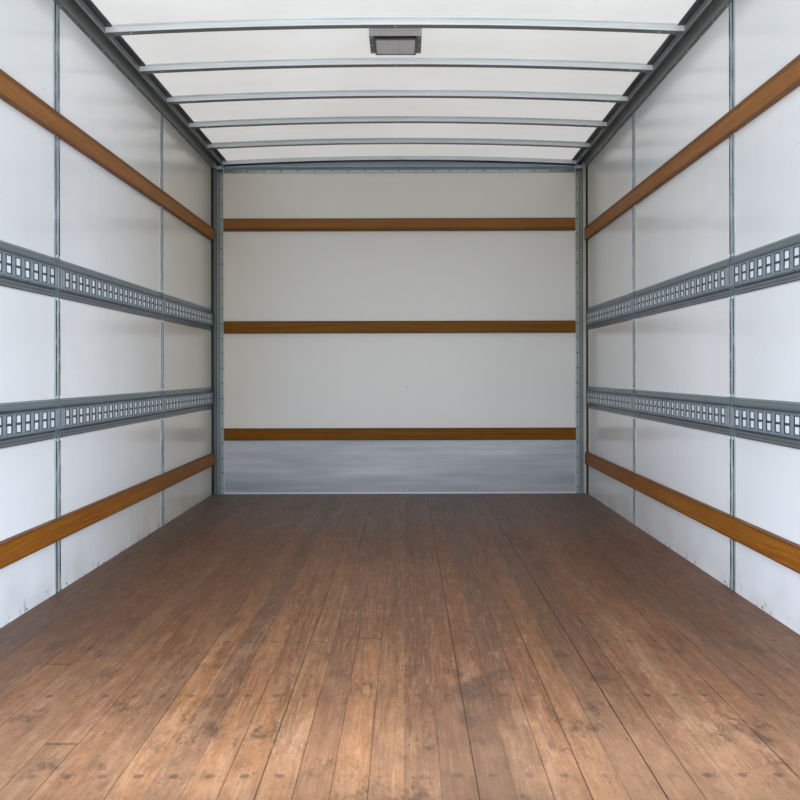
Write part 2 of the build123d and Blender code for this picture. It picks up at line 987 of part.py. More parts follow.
panel_ends = [y_front - corner_inset] + seams + [y_walls]
for number in range(panel_count):
    y_high = panel_ends[number] - (panel_gap / 2 if number > 0 else 0)
    y_low = panel_ends[number + 1] + (panel_gap / 2 if number < panel_count - 1 else 0)
    save_pair(side_panel(y_high, y_low), f"side_panel_{number + 1}")
save(front_panel(), "front_panel")
save_pair(wall_posts(), "wall_posts")
save_pair(front_corner(), "front_corner")
save_pair(inner_corner(), "inner_corner")

save_pair(top_rail(), "top_rail")
save_pair(top_corner(), "top_corner")
save(front_top_rail(), "front_top_rail")
save(front_header(), "front_header")
save(roof_bows(), "roof_bows")
save(roof_skin(), "roof_skin")

save_pair(rear_post(), "rear_post")
save(rear_header(), "rear_header")
save(rear_sill(), "rear_sill")
save_pair(hinge_lugs(), "hinge_lugs")

save_pair(door_frame().rotate(pin_axis, open_angle), "door_frame")
save_pair(door_panel().rotate(pin_axis, open_angle), "door_panel")
save_pair(gasket().rotate(pin_axis, open_angle), "door_gasket")
save_pair(hinge_straps().rotate(pin_axis, open_angle), "hinge_straps")
save_pair(lock_rod().rotate(pin_axis, open_angle), "lock_rod")
save_pair(rod_guides().rotate(pin_axis, open_angle), "rod_guides")

save_pair(side_slats(), "side_slats")
save(front_slats(), "front_slats")
save(scuff_plate(), "scuff_plate")
save_pair(tracks(), "tracks")
save(dome_light_housing(), "dome_light_housing")
save(dome_light_lens(), "dome_light_lens")
save(tail_lamps(), "tail_lamps")
save(marker_lamps(), "marker_lamps")

print("left door's hinge pin", -pin_x, pin_y, "right door's", pin_x, pin_y)
print("rear face", y_rear, "front wall", y_front, "floor", z_floor, "roof", z_roof, "header", z_header)
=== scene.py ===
# Looks of a box truck's cargo body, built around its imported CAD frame.
# Lengths are in metres: X to the right-hand side, Y forward to the front wall, Z up from the
# sills' undersides.
import math

import bmesh
import bpy
from mathutils import Matrix, Vector


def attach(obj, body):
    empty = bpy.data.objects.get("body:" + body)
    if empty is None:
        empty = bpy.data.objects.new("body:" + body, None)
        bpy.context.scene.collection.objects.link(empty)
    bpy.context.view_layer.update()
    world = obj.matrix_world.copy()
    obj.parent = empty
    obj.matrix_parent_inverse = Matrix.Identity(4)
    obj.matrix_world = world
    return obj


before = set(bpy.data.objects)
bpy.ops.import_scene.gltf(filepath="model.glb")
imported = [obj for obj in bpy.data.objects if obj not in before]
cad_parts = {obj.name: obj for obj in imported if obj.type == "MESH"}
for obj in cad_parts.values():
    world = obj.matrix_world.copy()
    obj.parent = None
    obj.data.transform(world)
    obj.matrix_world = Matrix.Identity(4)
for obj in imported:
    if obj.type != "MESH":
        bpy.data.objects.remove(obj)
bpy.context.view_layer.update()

# Levels, faces and pitches of the frame that the fittings follow
HALF_IN = 1.220
HALF_OUT = 1.239
Y_REAR = -2.439
Y_WALLS = -2.364
Y_FRONT = 2.441
Z_FLOOR = 0.208
Z_ROOF = 2.398
Z_EAVE = 2.366
ROOF_CURVE = 0.022
SEAMS = (1.356, 0.116, -1.124)
BOW_FIRST = 0.408
BOW_PITCH = 0.4064
BOW_COUNT = 11
STRIPS = 35
STRIP = 2.0 * HALF_IN / STRIPS
BOARD = 19.0
SLOT_PITCH = 0.062
SCREW_FIRST = 2.308
LANE = [-HALF_IN + strips * STRIP for strips in (19.0, 21.0)]
LANE_FRONT = -0.75
SCREW_PITCH = 0.390
TRACK_HIGH = 0.140
TRACK_BANDS = ((0.766, 0.906), (1.272, 1.412))
SLAT_BANDS = ((0.402, 0.478), (1.854, 1.930))
FRONT_SLATS = ((0.558, 0.636), (1.254, 1.332), (1.919, 1.998))
BOW_ROWS = [Y_FRONT - BOW_FIRST - BOW_PITCH * n for n in range(BOW_COUNT)]
SCREW_ROWS = [SCREW_FIRST - SCREW_PITCH * row for row in range(12)]

# Directions that fastenings face
RIGHTWARD, LEFTWARD = (1, 0, 0), (-1, 0, 0)
FORWARD, REARWARD = (0, 1, 0), (0, -1, 0)
UPWARD, DOWNWARD = (0, 0, 1), (0, 0, -1)

SIDES = (("left", -1.0), ("right", 1.0))


def linear_of(colour):
    """A display colour of three values, 0 to 255, as a shader's linear one. Anything else stays."""
    if not isinstance(colour, tuple) or len(colour) != 3:
        return colour
    shares = [value / 255.0 for value in colour]
    return (*(share / 12.92 if share <= 0.04045 else ((share + 0.055) / 1.055) ** 2.4
              for share in shares), 1.0)


# Shader helpers


def add(kind, inputs, **settings):
    """A shader node in the tree of the sockets it takes. Its inputs are values or sockets."""
    sockets = {slot: value for slot, value in inputs.items()
               if isinstance(value, bpy.types.NodeSocket)}
    tree = next(iter(sockets.values())).id_data
    made = tree.nodes.new("ShaderNode" + kind)
    for name, value in settings.items():
        setattr(made, name, value)
    for slot, value in inputs.items():
        if slot in sockets:
            tree.links.new(value, made.inputs[slot])
        else:
            made.inputs[slot].default_value = value
    return made


def maths(operation):
    """A helper that adds one Math node and gives its socket."""
    def added(first, second=0.0):
        return add("Math", {0: first, 1: second}, operation=operation).outputs[0]

    return added


plus = maths("ADD")
minus = maths("SUBTRACT")
times = maths("MULTIPLY")
divided = maths("DIVIDE")
larger = maths("MAXIMUM")
smaller = maths("MINIMUM")
is_under = maths("LESS_THAN")
is_over = maths("GREATER_THAN")
absolute = maths("ABSOLUTE")
floored = maths("FLOOR")
fraction = maths("FRACT")
rounded = maths("ROUND")
sine = maths("SINE")


def blend(share, under, over, way="MIX"):
    return add("Mix", {0: share, 6: linear_of(under), 7: linear_of(over)}, data_type="RGBA",
               blend_type=way).outputs[2]


def span(value, low, high, to_low=0.0, to_high=1.0):
    return add("MapRange", {0: value, 1: low, 2: high, 3: to_low, 4: to_high}).outputs[0]


def layered(tone, *layers):
    """A colour under others, each laid on by its value's way from low to high, up to its share."""
    for value, low, high, share, colour in layers:
        tone = blend(span(value, low, high, 0.0, share), tone, colour)
    return tone


def ramp(value, stops):
    made = add("ValToRGB", {0: value})
    marks = made.color_ramp.elements
    marks.remove(marks[1])
    marks[0].position, marks[0].color = stops[0][0], linear_of(stops[0][1])
    for place, colour in stops[1:]:
        marks.new(place).color = linear_of(colour)
    return made.outputs[0]


def mottled(patches, low, high):
    return ramp(patches, ((0.3, low), (0.7, high)))


def largest(values):
    """The largest of a list of values."""
    most = values[0]
    for value in values[1:]:
        most = larger(most, value)
    return most


def place_of(shader, what="Object"):
    """A point on the piece, and its X, Y and Z."""
    point = shader.id_data.nodes.new("ShaderNodeTexCoord").outputs[what]
    return (point, *add("SeparateXYZ", {0: point}).outputs)


def joined(x, y, z):
    return add("CombineXYZ", {0: x, 1: y, 2: z}).outputs[0]


def scaled(vector, factors):
    return add("VectorMath", {0: vector, 1: factors}, operation="MULTIPLY").outputs[0]


def cloud(vector, scale, detail=3.0, roughness=0.5):
    return add("TexNoise", {"Vector": vector, "Scale": scale, "Detail": detail,
                            "Roughness": roughness}).outputs[0]


def streaked(vector, factors, detail=3.0, roughness=0.5, scale=1.0):
    """A cloud that is finer along some axes than along others."""
    return cloud(scaled(vector, factors), scale, detail, roughness)


def bump(height, strength, distance):
    return add("Bump", {"Height": height, "Strength": strength, "Distance": distance}).outputs[0]


def finish(name, **values):
    """A material with a principled shader, its plain values set on the shader itself."""
    made = bpy.data.materials.new(name)
    made.use_nodes = True
    shader = made.node_tree.nodes["Principled BSDF"]
    for slot, value in values.items():
        shader.inputs[slot.replace("_", " ")].default_value = value
    return made, shader


def feed(shader, **sockets):
    for slot, socket in sockets.items():
        shader.id_data.links.new(socket, shader.inputs[slot.replace("_", " ")])


def slot_share(y):
    """How far along its own slot pitch a place on a wall lies, 0.5 at a slot's middle."""
    return fraction(plus(divided(minus(y, Y_WALLS), SLOT_PITCH), 0.5))


def crown(x, drop):
    """The height of the roof's crown over a place across, less a drop."""
    return minus(Z_ROOF - drop, times(times(x, x), ROOF_CURVE))


# Finishes


def wall_laminate():
    """Glossy white laminate inside, yellower towards the front wall, and white paint outside;
    painted light and shade over the laminate near the door, up high, at the top by the front wall
    and under the ledges.
    """
    made, shader = finish("wall_laminate", IOR=1.5, Coat_Weight=0.25, Coat_Roughness=0.1)
    _, x, y, z = place_of(shader)
    inside = times(is_under(absolute(x), HALF_IN + 0.001), is_under(y, Y_FRONT + 0.001))
    flat = joined(plus(x, y), 0.0, z)
    fibres = streaked(flat, (30.0, 1.0, 0.9), 2.0)
    patches = cloud(flat, 1.1, 4.0)
    smears = streaked(flat, (0.8, 1.0, 5.0), 4.0, 0.6, scale=1.4)
    scuffs = span(streaked(flat, (3.0, 1.0, 90.0), 2.0, 0.6), 0.70, 0.76)
    scuffs = times(scuffs, span(cloud(flat, 3.1, 2.0), 0.55, 0.66))
    specks = span(cloud(flat, 38.0, 1.0), 0.79, 0.82)
    grime = times(span(z, 0.42, 0.21, 0.0, 0.30), span(cloud(flat, 6.0, 5.0), 0.35, 0.75))
    front_yellowing_and_shade = times(span(y, 0.9, 2.42, 0.0, 0.85), inside)
    drips = span(streaked(flat, (42.0, 1.0, 2.5), 2.0), 0.66, 0.72)
    drips = times(drips, span(z, 0.262, 0.214, 0.0, 0.8))
    at_front = is_over(y, Y_FRONT - 0.004)
    at_side = minus(1.0, at_front)
    ledges = [(low, at_side) for low, _ in TRACK_BANDS + SLAT_BANDS]
    ledges += [(low, at_front) for low, _ in FRONT_SLATS]
    # Painted shade in a thin band just under each slat and track.
    shade_below_ledges = largest([
        times(times(is_under(z, ledge + 0.001), span(z, ledge - 0.007, ledge - 0.001)), where)
        for ledge, where in ledges])

    tone = mottled(patches, (221, 223, 225), (228, 230, 233))
    tone = layered(
        tone,
        (fibres, 0.35, 0.8, 0.12, (206, 207, 206)),
        (smears, 0.55, 0.8, 0.35, (206, 206, 204)))
    # Painted light: the upper walls near the middle are lighter, as if lit through the roof.
    upper_painted_light = times(span(z, 1.75, 2.15, 0.0, 0.75), span(y, 1.2, 0.5))
    upper_painted_light = times(upper_painted_light, span(y, -0.20, 0.20))
    tone = blend(upper_painted_light, tone, (248, 249, 250))
    # Painted shade: a greyer band at mid height on the walls near the door.
    brushing_and_shade = times(span(absolute(minus(z, 1.15)), 0.75, 0.35), span(y, 0.35, -0.10, 0.0, 0.55))
    tone = blend(brushing_and_shade, tone, (197, 203, 211))
    # Painted light: the low walls near the door are paler and bluer, as if lit by daylight.
    low_painted_daylight = times(span(z, 0.80, 0.40, 0.0, 0.75), span(y, 0.9, -0.1))
    tone = blend(low_painted_daylight, tone, (236, 244, 255))
    # Towards the front wall the laminate turns yellower, and painted shade darkens it towards the
    # top.
    yellowed_and_shaded = blend(span(z, 2.2, 0.7), (195, 191, 181), (219, 218, 216))
    tone = blend(front_yellowing_and_shade, tone, yellowed_and_shaded)
    warm = times(span(x, -0.7, -1.2), span(y, 0.5, 1.6))
    tone = blend(warm, tone, (249, 244, 234), "MULTIPLY")
    tone = blend(times(scuffs, 0.35), tone, (140, 140, 140))
    tone = blend(times(specks, 0.45), tone, (118, 114, 108))
    tone = blend(grime, tone, (150, 142, 132))
    # Painted shade under the ledges.
    tone = blend(times(shade_below_ledges, 0.45), tone, (84, 74, 64))
    tone = blend(drips, tone, (48, 44, 40))
    ticks = span(streaked(flat, (1.0, 1.0, 0.45), 1.0, scale=60.0), 0.66, 0.70)
    ticks = times(ticks, span(z, 0.246, 0.214, 0.0, 0.85))
    tone = blend(ticks, tone, (58, 54, 50))
    paint = mottled(patches, (228, 229, 230), (234, 235, 236))
    feed(shader, Base_Color=blend(inside, paint, tone),
         Roughness=span(patches, 0.2, 0.8, 0.13, 0.22),
         Normal=bump(plus(times(fibres, 0.3), patches), 0.07, 0.002))
    return made


def spangle(point):
    """Zinc's own grain: crystals a few millimetres across, and cloudier patches."""
    grains = add("TexVoronoi", {"Vector": point, "Scale": 130.0}, feature="F1").outputs["Color"]
    grain = add("SeparateColor", {0: grains}).outputs[0]
    return grain, cloud(point, 7.0, 5.0, 0.6)


def zinc_shader(name, metallic, roughness):
    """A zinc surface's roughness and slight unevenness, its colour left to the caller."""
    made, shader = finish(name, Metallic=metallic)
    place = place_of(shader)
    grain, patches = spangle(place[0])
    rough = plus(span(patches, 0.2, 0.8, roughness - 0.06, roughness + 0.08),
                 span(grain, 0.0, 1.0, -0.04, 0.04))
    feed(shader, Roughness=rough, Normal=bump(patches, 0.08, 0.001))
    return made, shader, place, grain, patches


def spangled(grain, tone):
    """A tone with the crystals' own lighter and darker shades over it."""
    return blend(span(grain, 0.0, 1.0, 0.0, 0.16), tone, (0.9, 0.92, 0.93, 1.0), "OVERLAY")


def galvanised(name, dark, light, roughness, metallic):
    """Zinc-coated steel: spangled, streaked and a little dull."""
    made, shader, _, grain, patches = zinc_shader(name, metallic, roughness)
    feed(shader, Base_Color=spangled(grain, mottled(patches, dark, light)))
    return made


def offset_from(value, places):
    """How far a coordinate lies from the nearest of a few places."""
    gaps = [absolute(minus(value, place)) for place in places]
    gap = gaps[0]
    for further in gaps[1:]:
        gap = smaller(gap, further)
    return gap


def post_zinc():
    """Joint strips: bright base, painted dark dashed shadow down each rib, painted shade where the
    tracks cover them, white paint outside.
    """
    made, shader, (_, x, y, z), _, patches = zinc_shader("post_zinc", 0.4, 0.36)
    off = offset_from(y, SEAMS)
    rib = times(span(off, 0.0052, 0.0062), span(off, 0.0205, 0.0215, 1.0, 0.0))
    rib = times(rib, is_under(absolute(place_of(shader, "Normal")[2]), 0.7))
    dash = cloud(joined(0.0, times(y, 60.0), times(z, 15.0)), 1.0, 2.0)
    dash = span(dash, 0.42, 0.48, 0.60, 1.0)
    tone = mottled(patches, (184, 196, 202), (210, 219, 223))
    tone = blend(times(rib, dash), tone, (38, 45, 49))
    # Painted shade on the strips where the tracks cover them.
    crossing = largest([times(is_over(z, low), is_under(z, high)) for low, high in TRACK_BANDS])
    tone = blend(times(crossing, 0.85), tone, (104, 118, 123))
    outside = is_over(absolute(x), HALF_IN + 0.001)
    feed(shader, Base_Color=blend(outside, tone, (229, 230, 231)),
         Metallic=span(outside, 0.0, 1.0, 0.4, 0.0))
    return made


def track_zinc():
    """Slotted track: painted light and shade on each fold of the section, painted highlights on the
    webs between slots and painted shadow along the slots' edges.
    """
    made, shader, (point, _, y, z), grain, _ = zinc_shader("track_zinc", 0.4, 0.34)
    upper = is_over(z, (TRACK_BANDS[0][1] + TRACK_BANDS[1][0]) / 2.0)
    level = minus(z, span(upper, 0.0, 1.0, TRACK_BANDS[0][0], TRACK_BANDS[1][0]))
    # Painted light and shade: each fold is lighter or darker by how it faces the light.
    painted_fold_shading = ramp(span(level, 0.0, TRACK_HIGH), (
        (0.000, (44, 50, 54)), (0.022, (60, 68, 73)), (0.030, (124, 134, 142)),
        (0.085, (82, 84, 90)), (0.150, (116, 126, 134)), (0.165, (44, 50, 56)),
        (0.190, (56, 64, 71)), (0.205, (118, 132, 142)), (0.240, (126, 141, 151)),
        (0.250, (122, 138, 150)), (0.750, (114, 130, 142)), (0.765, (38, 46, 51)),
        (0.800, (50, 59, 65)), (0.815, (96, 109, 115)), (0.900, (118, 131, 137)),
        (0.950, (98, 109, 114)), (0.965, (150, 161, 166)), (1.000, (112, 121, 126))))
    slots = slot_share(y)
    from_slot = times(absolute(minus(slots, 0.5)), SLOT_PITCH)
    face = is_under(absolute(minus(level, TRACK_HIGH / 2.0)), 0.030)
    lip_shadow = times(span(from_slot, 0.0208, 0.0192), face)
    off = offset_from(y, SEAMS)
    # Painted highlight on the webs between the slots, stronger farther in.
    web_highlight = times(span(from_slot, 0.0218, 0.0235), face)
    tone = blend(times(web_highlight, span(y, -1.2, 1.2, 0.05, 0.35)), painted_fold_shading, (220, 229, 234))
    # Painted shadow along the slots' edges, away from the joints.
    lip_shadow = times(lip_shadow, is_over(off, 0.030))
    tone = blend(times(lip_shadow, 0.85), tone, (30, 37, 41))
    meeting = times(span(off, 0.0110, 0.0118), span(off, 0.0150, 0.0158, 1.0, 0.0))
    tone = blend(times(meeting, 0.55), tone, (222, 229, 232))
    streak = streaked(point, (1.0, 2.0, 60.0), 3.0)
    tone = layered(tone, (streak, 0.35, 0.75, 0.25, (96, 106, 110)))
    feed(shader, Base_Color=spangled(grain, tone))
    return made


def corner_zinc():
    """Stepped corner angle: painted light on the flanges either side of a rib in painted shade."""
    made, shader, (_, x, _, z), _, patches = zinc_shader("corner_zinc", 0.3, 0.34)
    across = minus(HALF_IN, absolute(x))
    # Painted light and shade: lighter flanges, darker rib and creases, by how each fold faces the
    # light.
    painted_fold_shading = ramp(span(across, 0.0, 0.080), (
        (0.00, (40, 46, 49)), (0.07, (44, 50, 53)), (0.09, (120, 129, 131)),
        (0.31, (116, 126, 129)), (0.34, (58, 66, 70)), (0.38, (62, 71, 75)),
        (0.41, (138, 150, 156)), (0.55, (132, 144, 150)), (0.60, (78, 88, 93)),
        (0.64, (158, 170, 176)), (0.88, (162, 174, 180)), (0.92, (206, 213, 216))))
    side_edge = span(is_over(x, 0.0), 0.0, 1.0, 0.0165, 0.0260)
    edge_strip = times(is_over(across, 0.0085), is_under(across, side_edge))
    edge_tone = blend(is_over(x, 0.0), (96, 102, 102), (204, 204, 194))
    painted_fold_shading = blend(edge_strip, painted_fold_shading, edge_tone)
    tone = blend(span(patches, 0.35, 0.7, 0.0, 0.2), painted_fold_shading, (110, 120, 124))
    tone = blend(span(z, 0.8, 1.7, 0.1, 1.0), tone, (236, 230, 212), "MULTIPLY")
    feed(shader, Base_Color=tone)
    return made


def header_zinc():
    """Head of the front wall: painted light and shade on its folds (pale flange, blue-grey fold,
    dark recess), painted shade at the flange's ends and along the crown, and a pale crowned strip.
    """
    made, shader, (_, x, y, z), _, patches = zinc_shader("header_zinc", 0.35, 0.34)
    # Painted light and shade on each fold of the head, by how it faces the light.
    painted_fold_shading = ramp(span(z, 2.297, 2.372), (
        (0.00, (80, 88, 90)), (0.04, (184, 190, 191)), (0.24, (176, 183, 185)),
        (0.28, (92, 102, 107)), (0.32, (128, 140, 148)), (0.50, (140, 152, 160)),
        (0.70, (120, 132, 140)), (1.00, (112, 124, 132))))
    # Painted shade on the flange towards its ends at the corners.
    shaded_flange_ends = times(span(absolute(x), 0.84, 1.08, 0.0, 0.6), is_under(z, 2.317))
    painted_fold_shading = blend(shaded_flange_ends, painted_fold_shading, (70, 76, 78))
    # Painted shade: a dark line along the crown where the head meets the roof.
    arch = crown(x, 0.034)
    painted_fold_shading = blend(span(minus(z, arch), -0.001, 0.001), painted_fold_shading, (30, 34, 36))
    strip = is_over(Y_FRONT - 0.0375, y)
    tone = blend(strip, painted_fold_shading, (196, 201, 202))
    tone = layered(tone, (patches, 0.35, 0.7, 0.25, (118, 128, 132)))
    feed(shader, Base_Color=tone)
    return made


def bow_zinc():
    """Roof bows: pale blue-grey webs, painted shade on their undersides and more painted shade
    towards the front.
    """
    made, shader, (point, x, y, z), _, _ = zinc_shader("bow_zinc", 0.2, 0.34)
    # Painted shade on the bows' undersides.
    facing_down = place_of(shader, "Normal")[3]
    arch = crown(x, 0.012)
    under = times(span(facing_down, -0.5, -0.8), is_under(z, arch))
    streak = streaked(point, (3.0, 1.0, 160.0), 2.0)
    tone = mottled(streak, (218, 224, 226), (240, 244, 245))
    # Painted shade: the bows are darker towards the front.
    tone = layered(tone, (y, -0.2, 2.2, 0.55, (128, 136, 138)))
    tone = blend(under, tone, (106, 107, 107))
    feed(shader, Base_Color=tone)
    return made


def half_painted():
    """Rails under the roof: raw steel inside that darkens up the cove, partly its own finish and
    partly painted shade, with painted highlights along the foot and lip; white paint outside.
    """
    made, shader = finish("rail_coat")
    point, x, y, _ = place_of(shader)
    out_x = is_over(absolute(x), HALF_IN + 0.0005)
    out_y = is_over(y, Y_FRONT + 0.0005)
    outside = larger(out_x, out_y)
    patches = cloud(point, 7.0, 5.0, 0.6)
    across = minus(HALF_IN, absolute(x))
    # Darker up the cove, partly the steel's own finish and partly painted shade, with painted
    # highlights along the foot, the lip and the ledge's edge.
    painted_fold_shading = ramp(span(across, 0.0, 0.110), (
        (0.00, (128, 132, 130)), (0.05, (122, 126, 124)), (0.16, (82, 86, 84)),
        (0.30, (44, 47, 46)), (0.50, (28, 30, 29)), (0.60, (34, 36, 35)),
        (0.64, (132, 137, 138)), (0.69, (116, 121, 122)), (0.71, (22, 23, 23)),
        (0.92, (36, 37, 36)), (0.97, (102, 105, 105))))
    streak = streaked(point, (8.0, 1.2, 8.0), 4.0, scale=3.0)
    metal = blend(span(streak, 0.45, 0.8, 0.0, 0.55), painted_fold_shading, (98, 100, 96))
    paint = mottled(patches, (226, 227, 228), (233, 234, 235))
    feed(shader, Base_Color=blend(outside, metal, paint),
         Metallic=span(outside, 0.0, 1.0, 0.12, 0.0),
         Roughness=span(patches, 0.2, 0.8, 0.34, 0.48),
         Normal=bump(patches, 0.08, 0.001))
    return made


def scuff_zinc():
    """Kick plate: plain sheet, brushed from side to side, with a painted highlight along its foot.
    """
    made, shader = finish("scuff_zinc", Metallic=0.35)
    point, _, _, z = place_of(shader)
    brushing_and_shade = streaked(point, (1.6, 1.0, 40.0), 4.0, 0.6)
    smears = streaked(point, (0.9, 1.0, 7.0), 3.0, scale=1.8)
    tone = ramp(smears, ((0.30, (168, 175, 184)), (0.55, (194, 199, 207)), (0.75, (212, 217, 223))))
    tone = layered(
        tone,
        (brushing_and_shade, 0.40, 0.75, 0.35, (142, 148, 158)),
        (z, Z_FLOOR + 0.16, Z_FLOOR, 0.45, (146, 156, 164)))
    # Painted highlight: a bright line along the plate's foot.
    foot = span(z, Z_FLOOR + 0.012, Z_FLOOR + 0.009)
    tone = blend(foot, tone, (226, 230, 233))
    feed(shader, Base_Color=tone,
         Roughness=span(brushing_and_shade, 0.2, 0.8, 0.26, 0.40),
         Normal=bump(smears, 0.10, 0.002))
    return made


def hardwood_floor():
    """Worn hardwood strips that run fore and aft, dark seams between them, paler by the door from
    wear and painted light, darker further in partly from painted shade, and greyer towards the
    front from a painted reflection.
    """
    made, shader = finish("hardwood_floor", IOR=1.40)
    _, x, y, z = place_of(shader)
    strips = divided(plus(x, HALF_IN), STRIP)
    strip = floored(strips)
    across = fraction(strips)
    shift = add("TexWhiteNoise", {"W": strip}, noise_dimensions="1D").outputs["Value"]
    lengths = plus(divided(y, BOARD), times(shift, 7.0))
    board = floored(lengths)
    down = fraction(lengths)
    number = plus(times(strip, 17.0), board)
    own = add("TexWhiteNoise", {"W": number}, noise_dimensions="1D")
    shade = own.outputs["Value"]
    hue, worn_share = add("SeparateColor", {0: own.outputs["Color"]}).outputs[1:3]

    # The grain: each board has its own stretch of a long pattern
    wavy = cloud(joined(times(x, 9.0), times(y, 2.0), shade), 1.0, 3.0)
    bent = joined(plus(times(wavy, 0.018), plus(x, shade)), plus(y, times(hue, 5.0)), z)
    streaks = streaked(bent, (40.0, 1.0, 1.0), 6.0, 0.7)
    fine = streaked(bent, (150.0, 6.5, 1.0), 7.0, 0.82)
    flecks = streaked(bent, (190.0, 15.0, 1.0), 5.0, 0.75)
    pale = streaked(joined(x, y, 7.0), (130.0, 6.0, 1.0), 6.0, 0.8)
    # Wear that ignores the boards
    stains = cloud(joined(times(x, 8.0), times(y, 1.1), 3.0), 1.0, 8.0, 0.75)
    walked = cloud(joined(times(x, 11.0), times(y, 1.7), 9.0), 1.0, 8.0, 0.78)
    scrape = streaked(joined(plus(x, times(y, 0.08)), y, 0.0), (120.0, 9.0, 1.0), 3.0, 0.7)
    drag = streaked(joined(minus(x, times(y, 0.25)), y, 5.0), (170.0, 14.0, 1.0), 2.0, 0.6)
    dirt = span(cloud(joined(x, times(y, 0.6), 1.0), 85.0, 2.0), 0.68, 0.74)

    tone = ramp(shade, (
        (0.00, (112, 82, 62)), (0.20, (136, 88, 56)), (0.40, (158, 97, 54)),
        (0.60, (134, 92, 64)), (0.80, (170, 112, 60)), (1.00, (158, 116, 82))))
    tone = layered(
        tone,
        (hue, 0.0, 1.0, 0.25, (146, 90, 58)),
        (streaks, 0.40, 0.66, 0.48, (94, 64, 44)),
        (fine, 0.46, 0.64, 0.46, (74, 50, 34)))
    # Darker further from the door: partly the wood, partly painted shade.
    tone = blend(times(span(y, -1.5, -0.2), 0.60), tone, (80, 58, 43))
    tone = layered(tone, (stains, 0.46, 0.66, 0.50, (80, 62, 50)))
    rear = span(y, 0.3, -1.6)
    rubbed = times(span(walked, 0.46, 0.66), span(worn_share, 0.0, 1.0, 0.15, 0.75))
    tone = blend(times(rubbed, rear), tone, (208, 168, 136))
    # Painted light: paler near the side walls by the door.
    side_painted_light = times(span(absolute(x), 0.20, 0.85), span(y, -0.4, -1.3))
    tone = blend(times(side_painted_light, 0.26), tone, (220, 168, 124))
    # Paler just inside the door, partly from wear and partly painted light; then pale streaks, dark
    # flecks, scrapes and drag marks.
    tone = layered(
        tone,
        (y, -0.85, -1.35, 0.30, (226, 181, 146)),
        (pale, 0.53, 0.68, 0.36, (200, 156, 118)),
        (flecks, 0.56, 0.70, 0.42, (66, 46, 34)),
        (scrape, 0.675, 0.73, 0.50, (214, 198, 180)),
        (drag, 0.73, 0.79, 0.45, (208, 194, 178)))
    tone = blend(times(dirt, 0.55), tone, (50, 40, 34))
    # Painted reflection: greyer towards the front, as a sheen of the front wall.
    tone = layered(tone, (y, 0.9, 2.2, 0.36, (112, 113, 115)))
    redder = times(span(y, -0.9, -0.3), span(y, 1.6, 0.9))
    tone = blend(redder, tone, (247, 238, 227), "MULTIPLY")
    mottle = streaked(joined(x, y, 21.0), (26.0, 11.0, 1.0), 8.0, 0.8)
    tone = layered(
        tone,
        (mottle, 0.46, 0.66, 0.42, (84, 60, 46)),
        (mottle, 0.44, 0.28, 0.30, (206, 162, 124)))
    spots = streaked(joined(x, y, 11.0), (7.0, 3.6, 1.0), 7.0, 0.75)
    spots = times(span(spots, 0.55, 0.64), span(y, 1.0, -1.0, 0.3, 0.95))
    tone = blend(times(spots, 0.62), tone, (58, 46, 40))
    # A replaced, greyer run of boards
    lane = times(is_over(x, LANE[0]), is_under(x, LANE[1]))
    lane = times(lane, is_under(y, LANE_FRONT))
    tone = blend(times(lane, 0.42), tone, (84, 68, 58))

    # Seams, some tight and some open, and a dark ring round each screw
    edge = smaller(across, minus(1.0, across))
    seam = add("TexWhiteNoise", {"W": plus(rounded(strips), 0.37)},
               noise_dimensions="1D").outputs["Value"]
    ragged = cloud(joined(strip, times(y, 1.4), 0.0), 1.0, 5.0, 0.7)
    open_by = plus(span(seam, 0.0, 1.0, 0.006, 0.022), span(ragged, 0.45, 0.8, 0.0, 0.03))
    joint = is_under(edge, open_by)
    butt = is_under(smaller(down, minus(1.0, down)), 0.0003)
    gap = larger(times(joint, span(seam, 0.3, 1.0, 0.30, 1.0)), times(butt, 0.6))
    tone = blend(times(gap, 0.72), tone, (42, 31, 25))
    rows = divided(minus(SCREW_FIRST, y), SCREW_PITCH)
    row_gap = times(minus(rows, rounded(rows)), SCREW_PITCH)
    side_gap = times(minus(across, 0.5), STRIP)
    from_screw = add("VectorMath", {0: joined(side_gap, row_gap, 0.0)},
                     operation="LENGTH").outputs["Value"]
    halo = times(span(from_screw, 0.012, 0.006), span(worn_share, 0.2, 1.0, 0.15, 0.6))
    tone = blend(halo, tone, (62, 52, 46))

    gloss = plus(span(walked, 0.3, 0.7, 0.38, 0.54), span(fine, 0.3, 0.7, -0.04, 0.10))
    height = minus(times(fine, 0.3), gap)
    feed(shader, Base_Color=tone, Roughness=gloss, Normal=bump(height, 0.5, 0.0012))
    return made


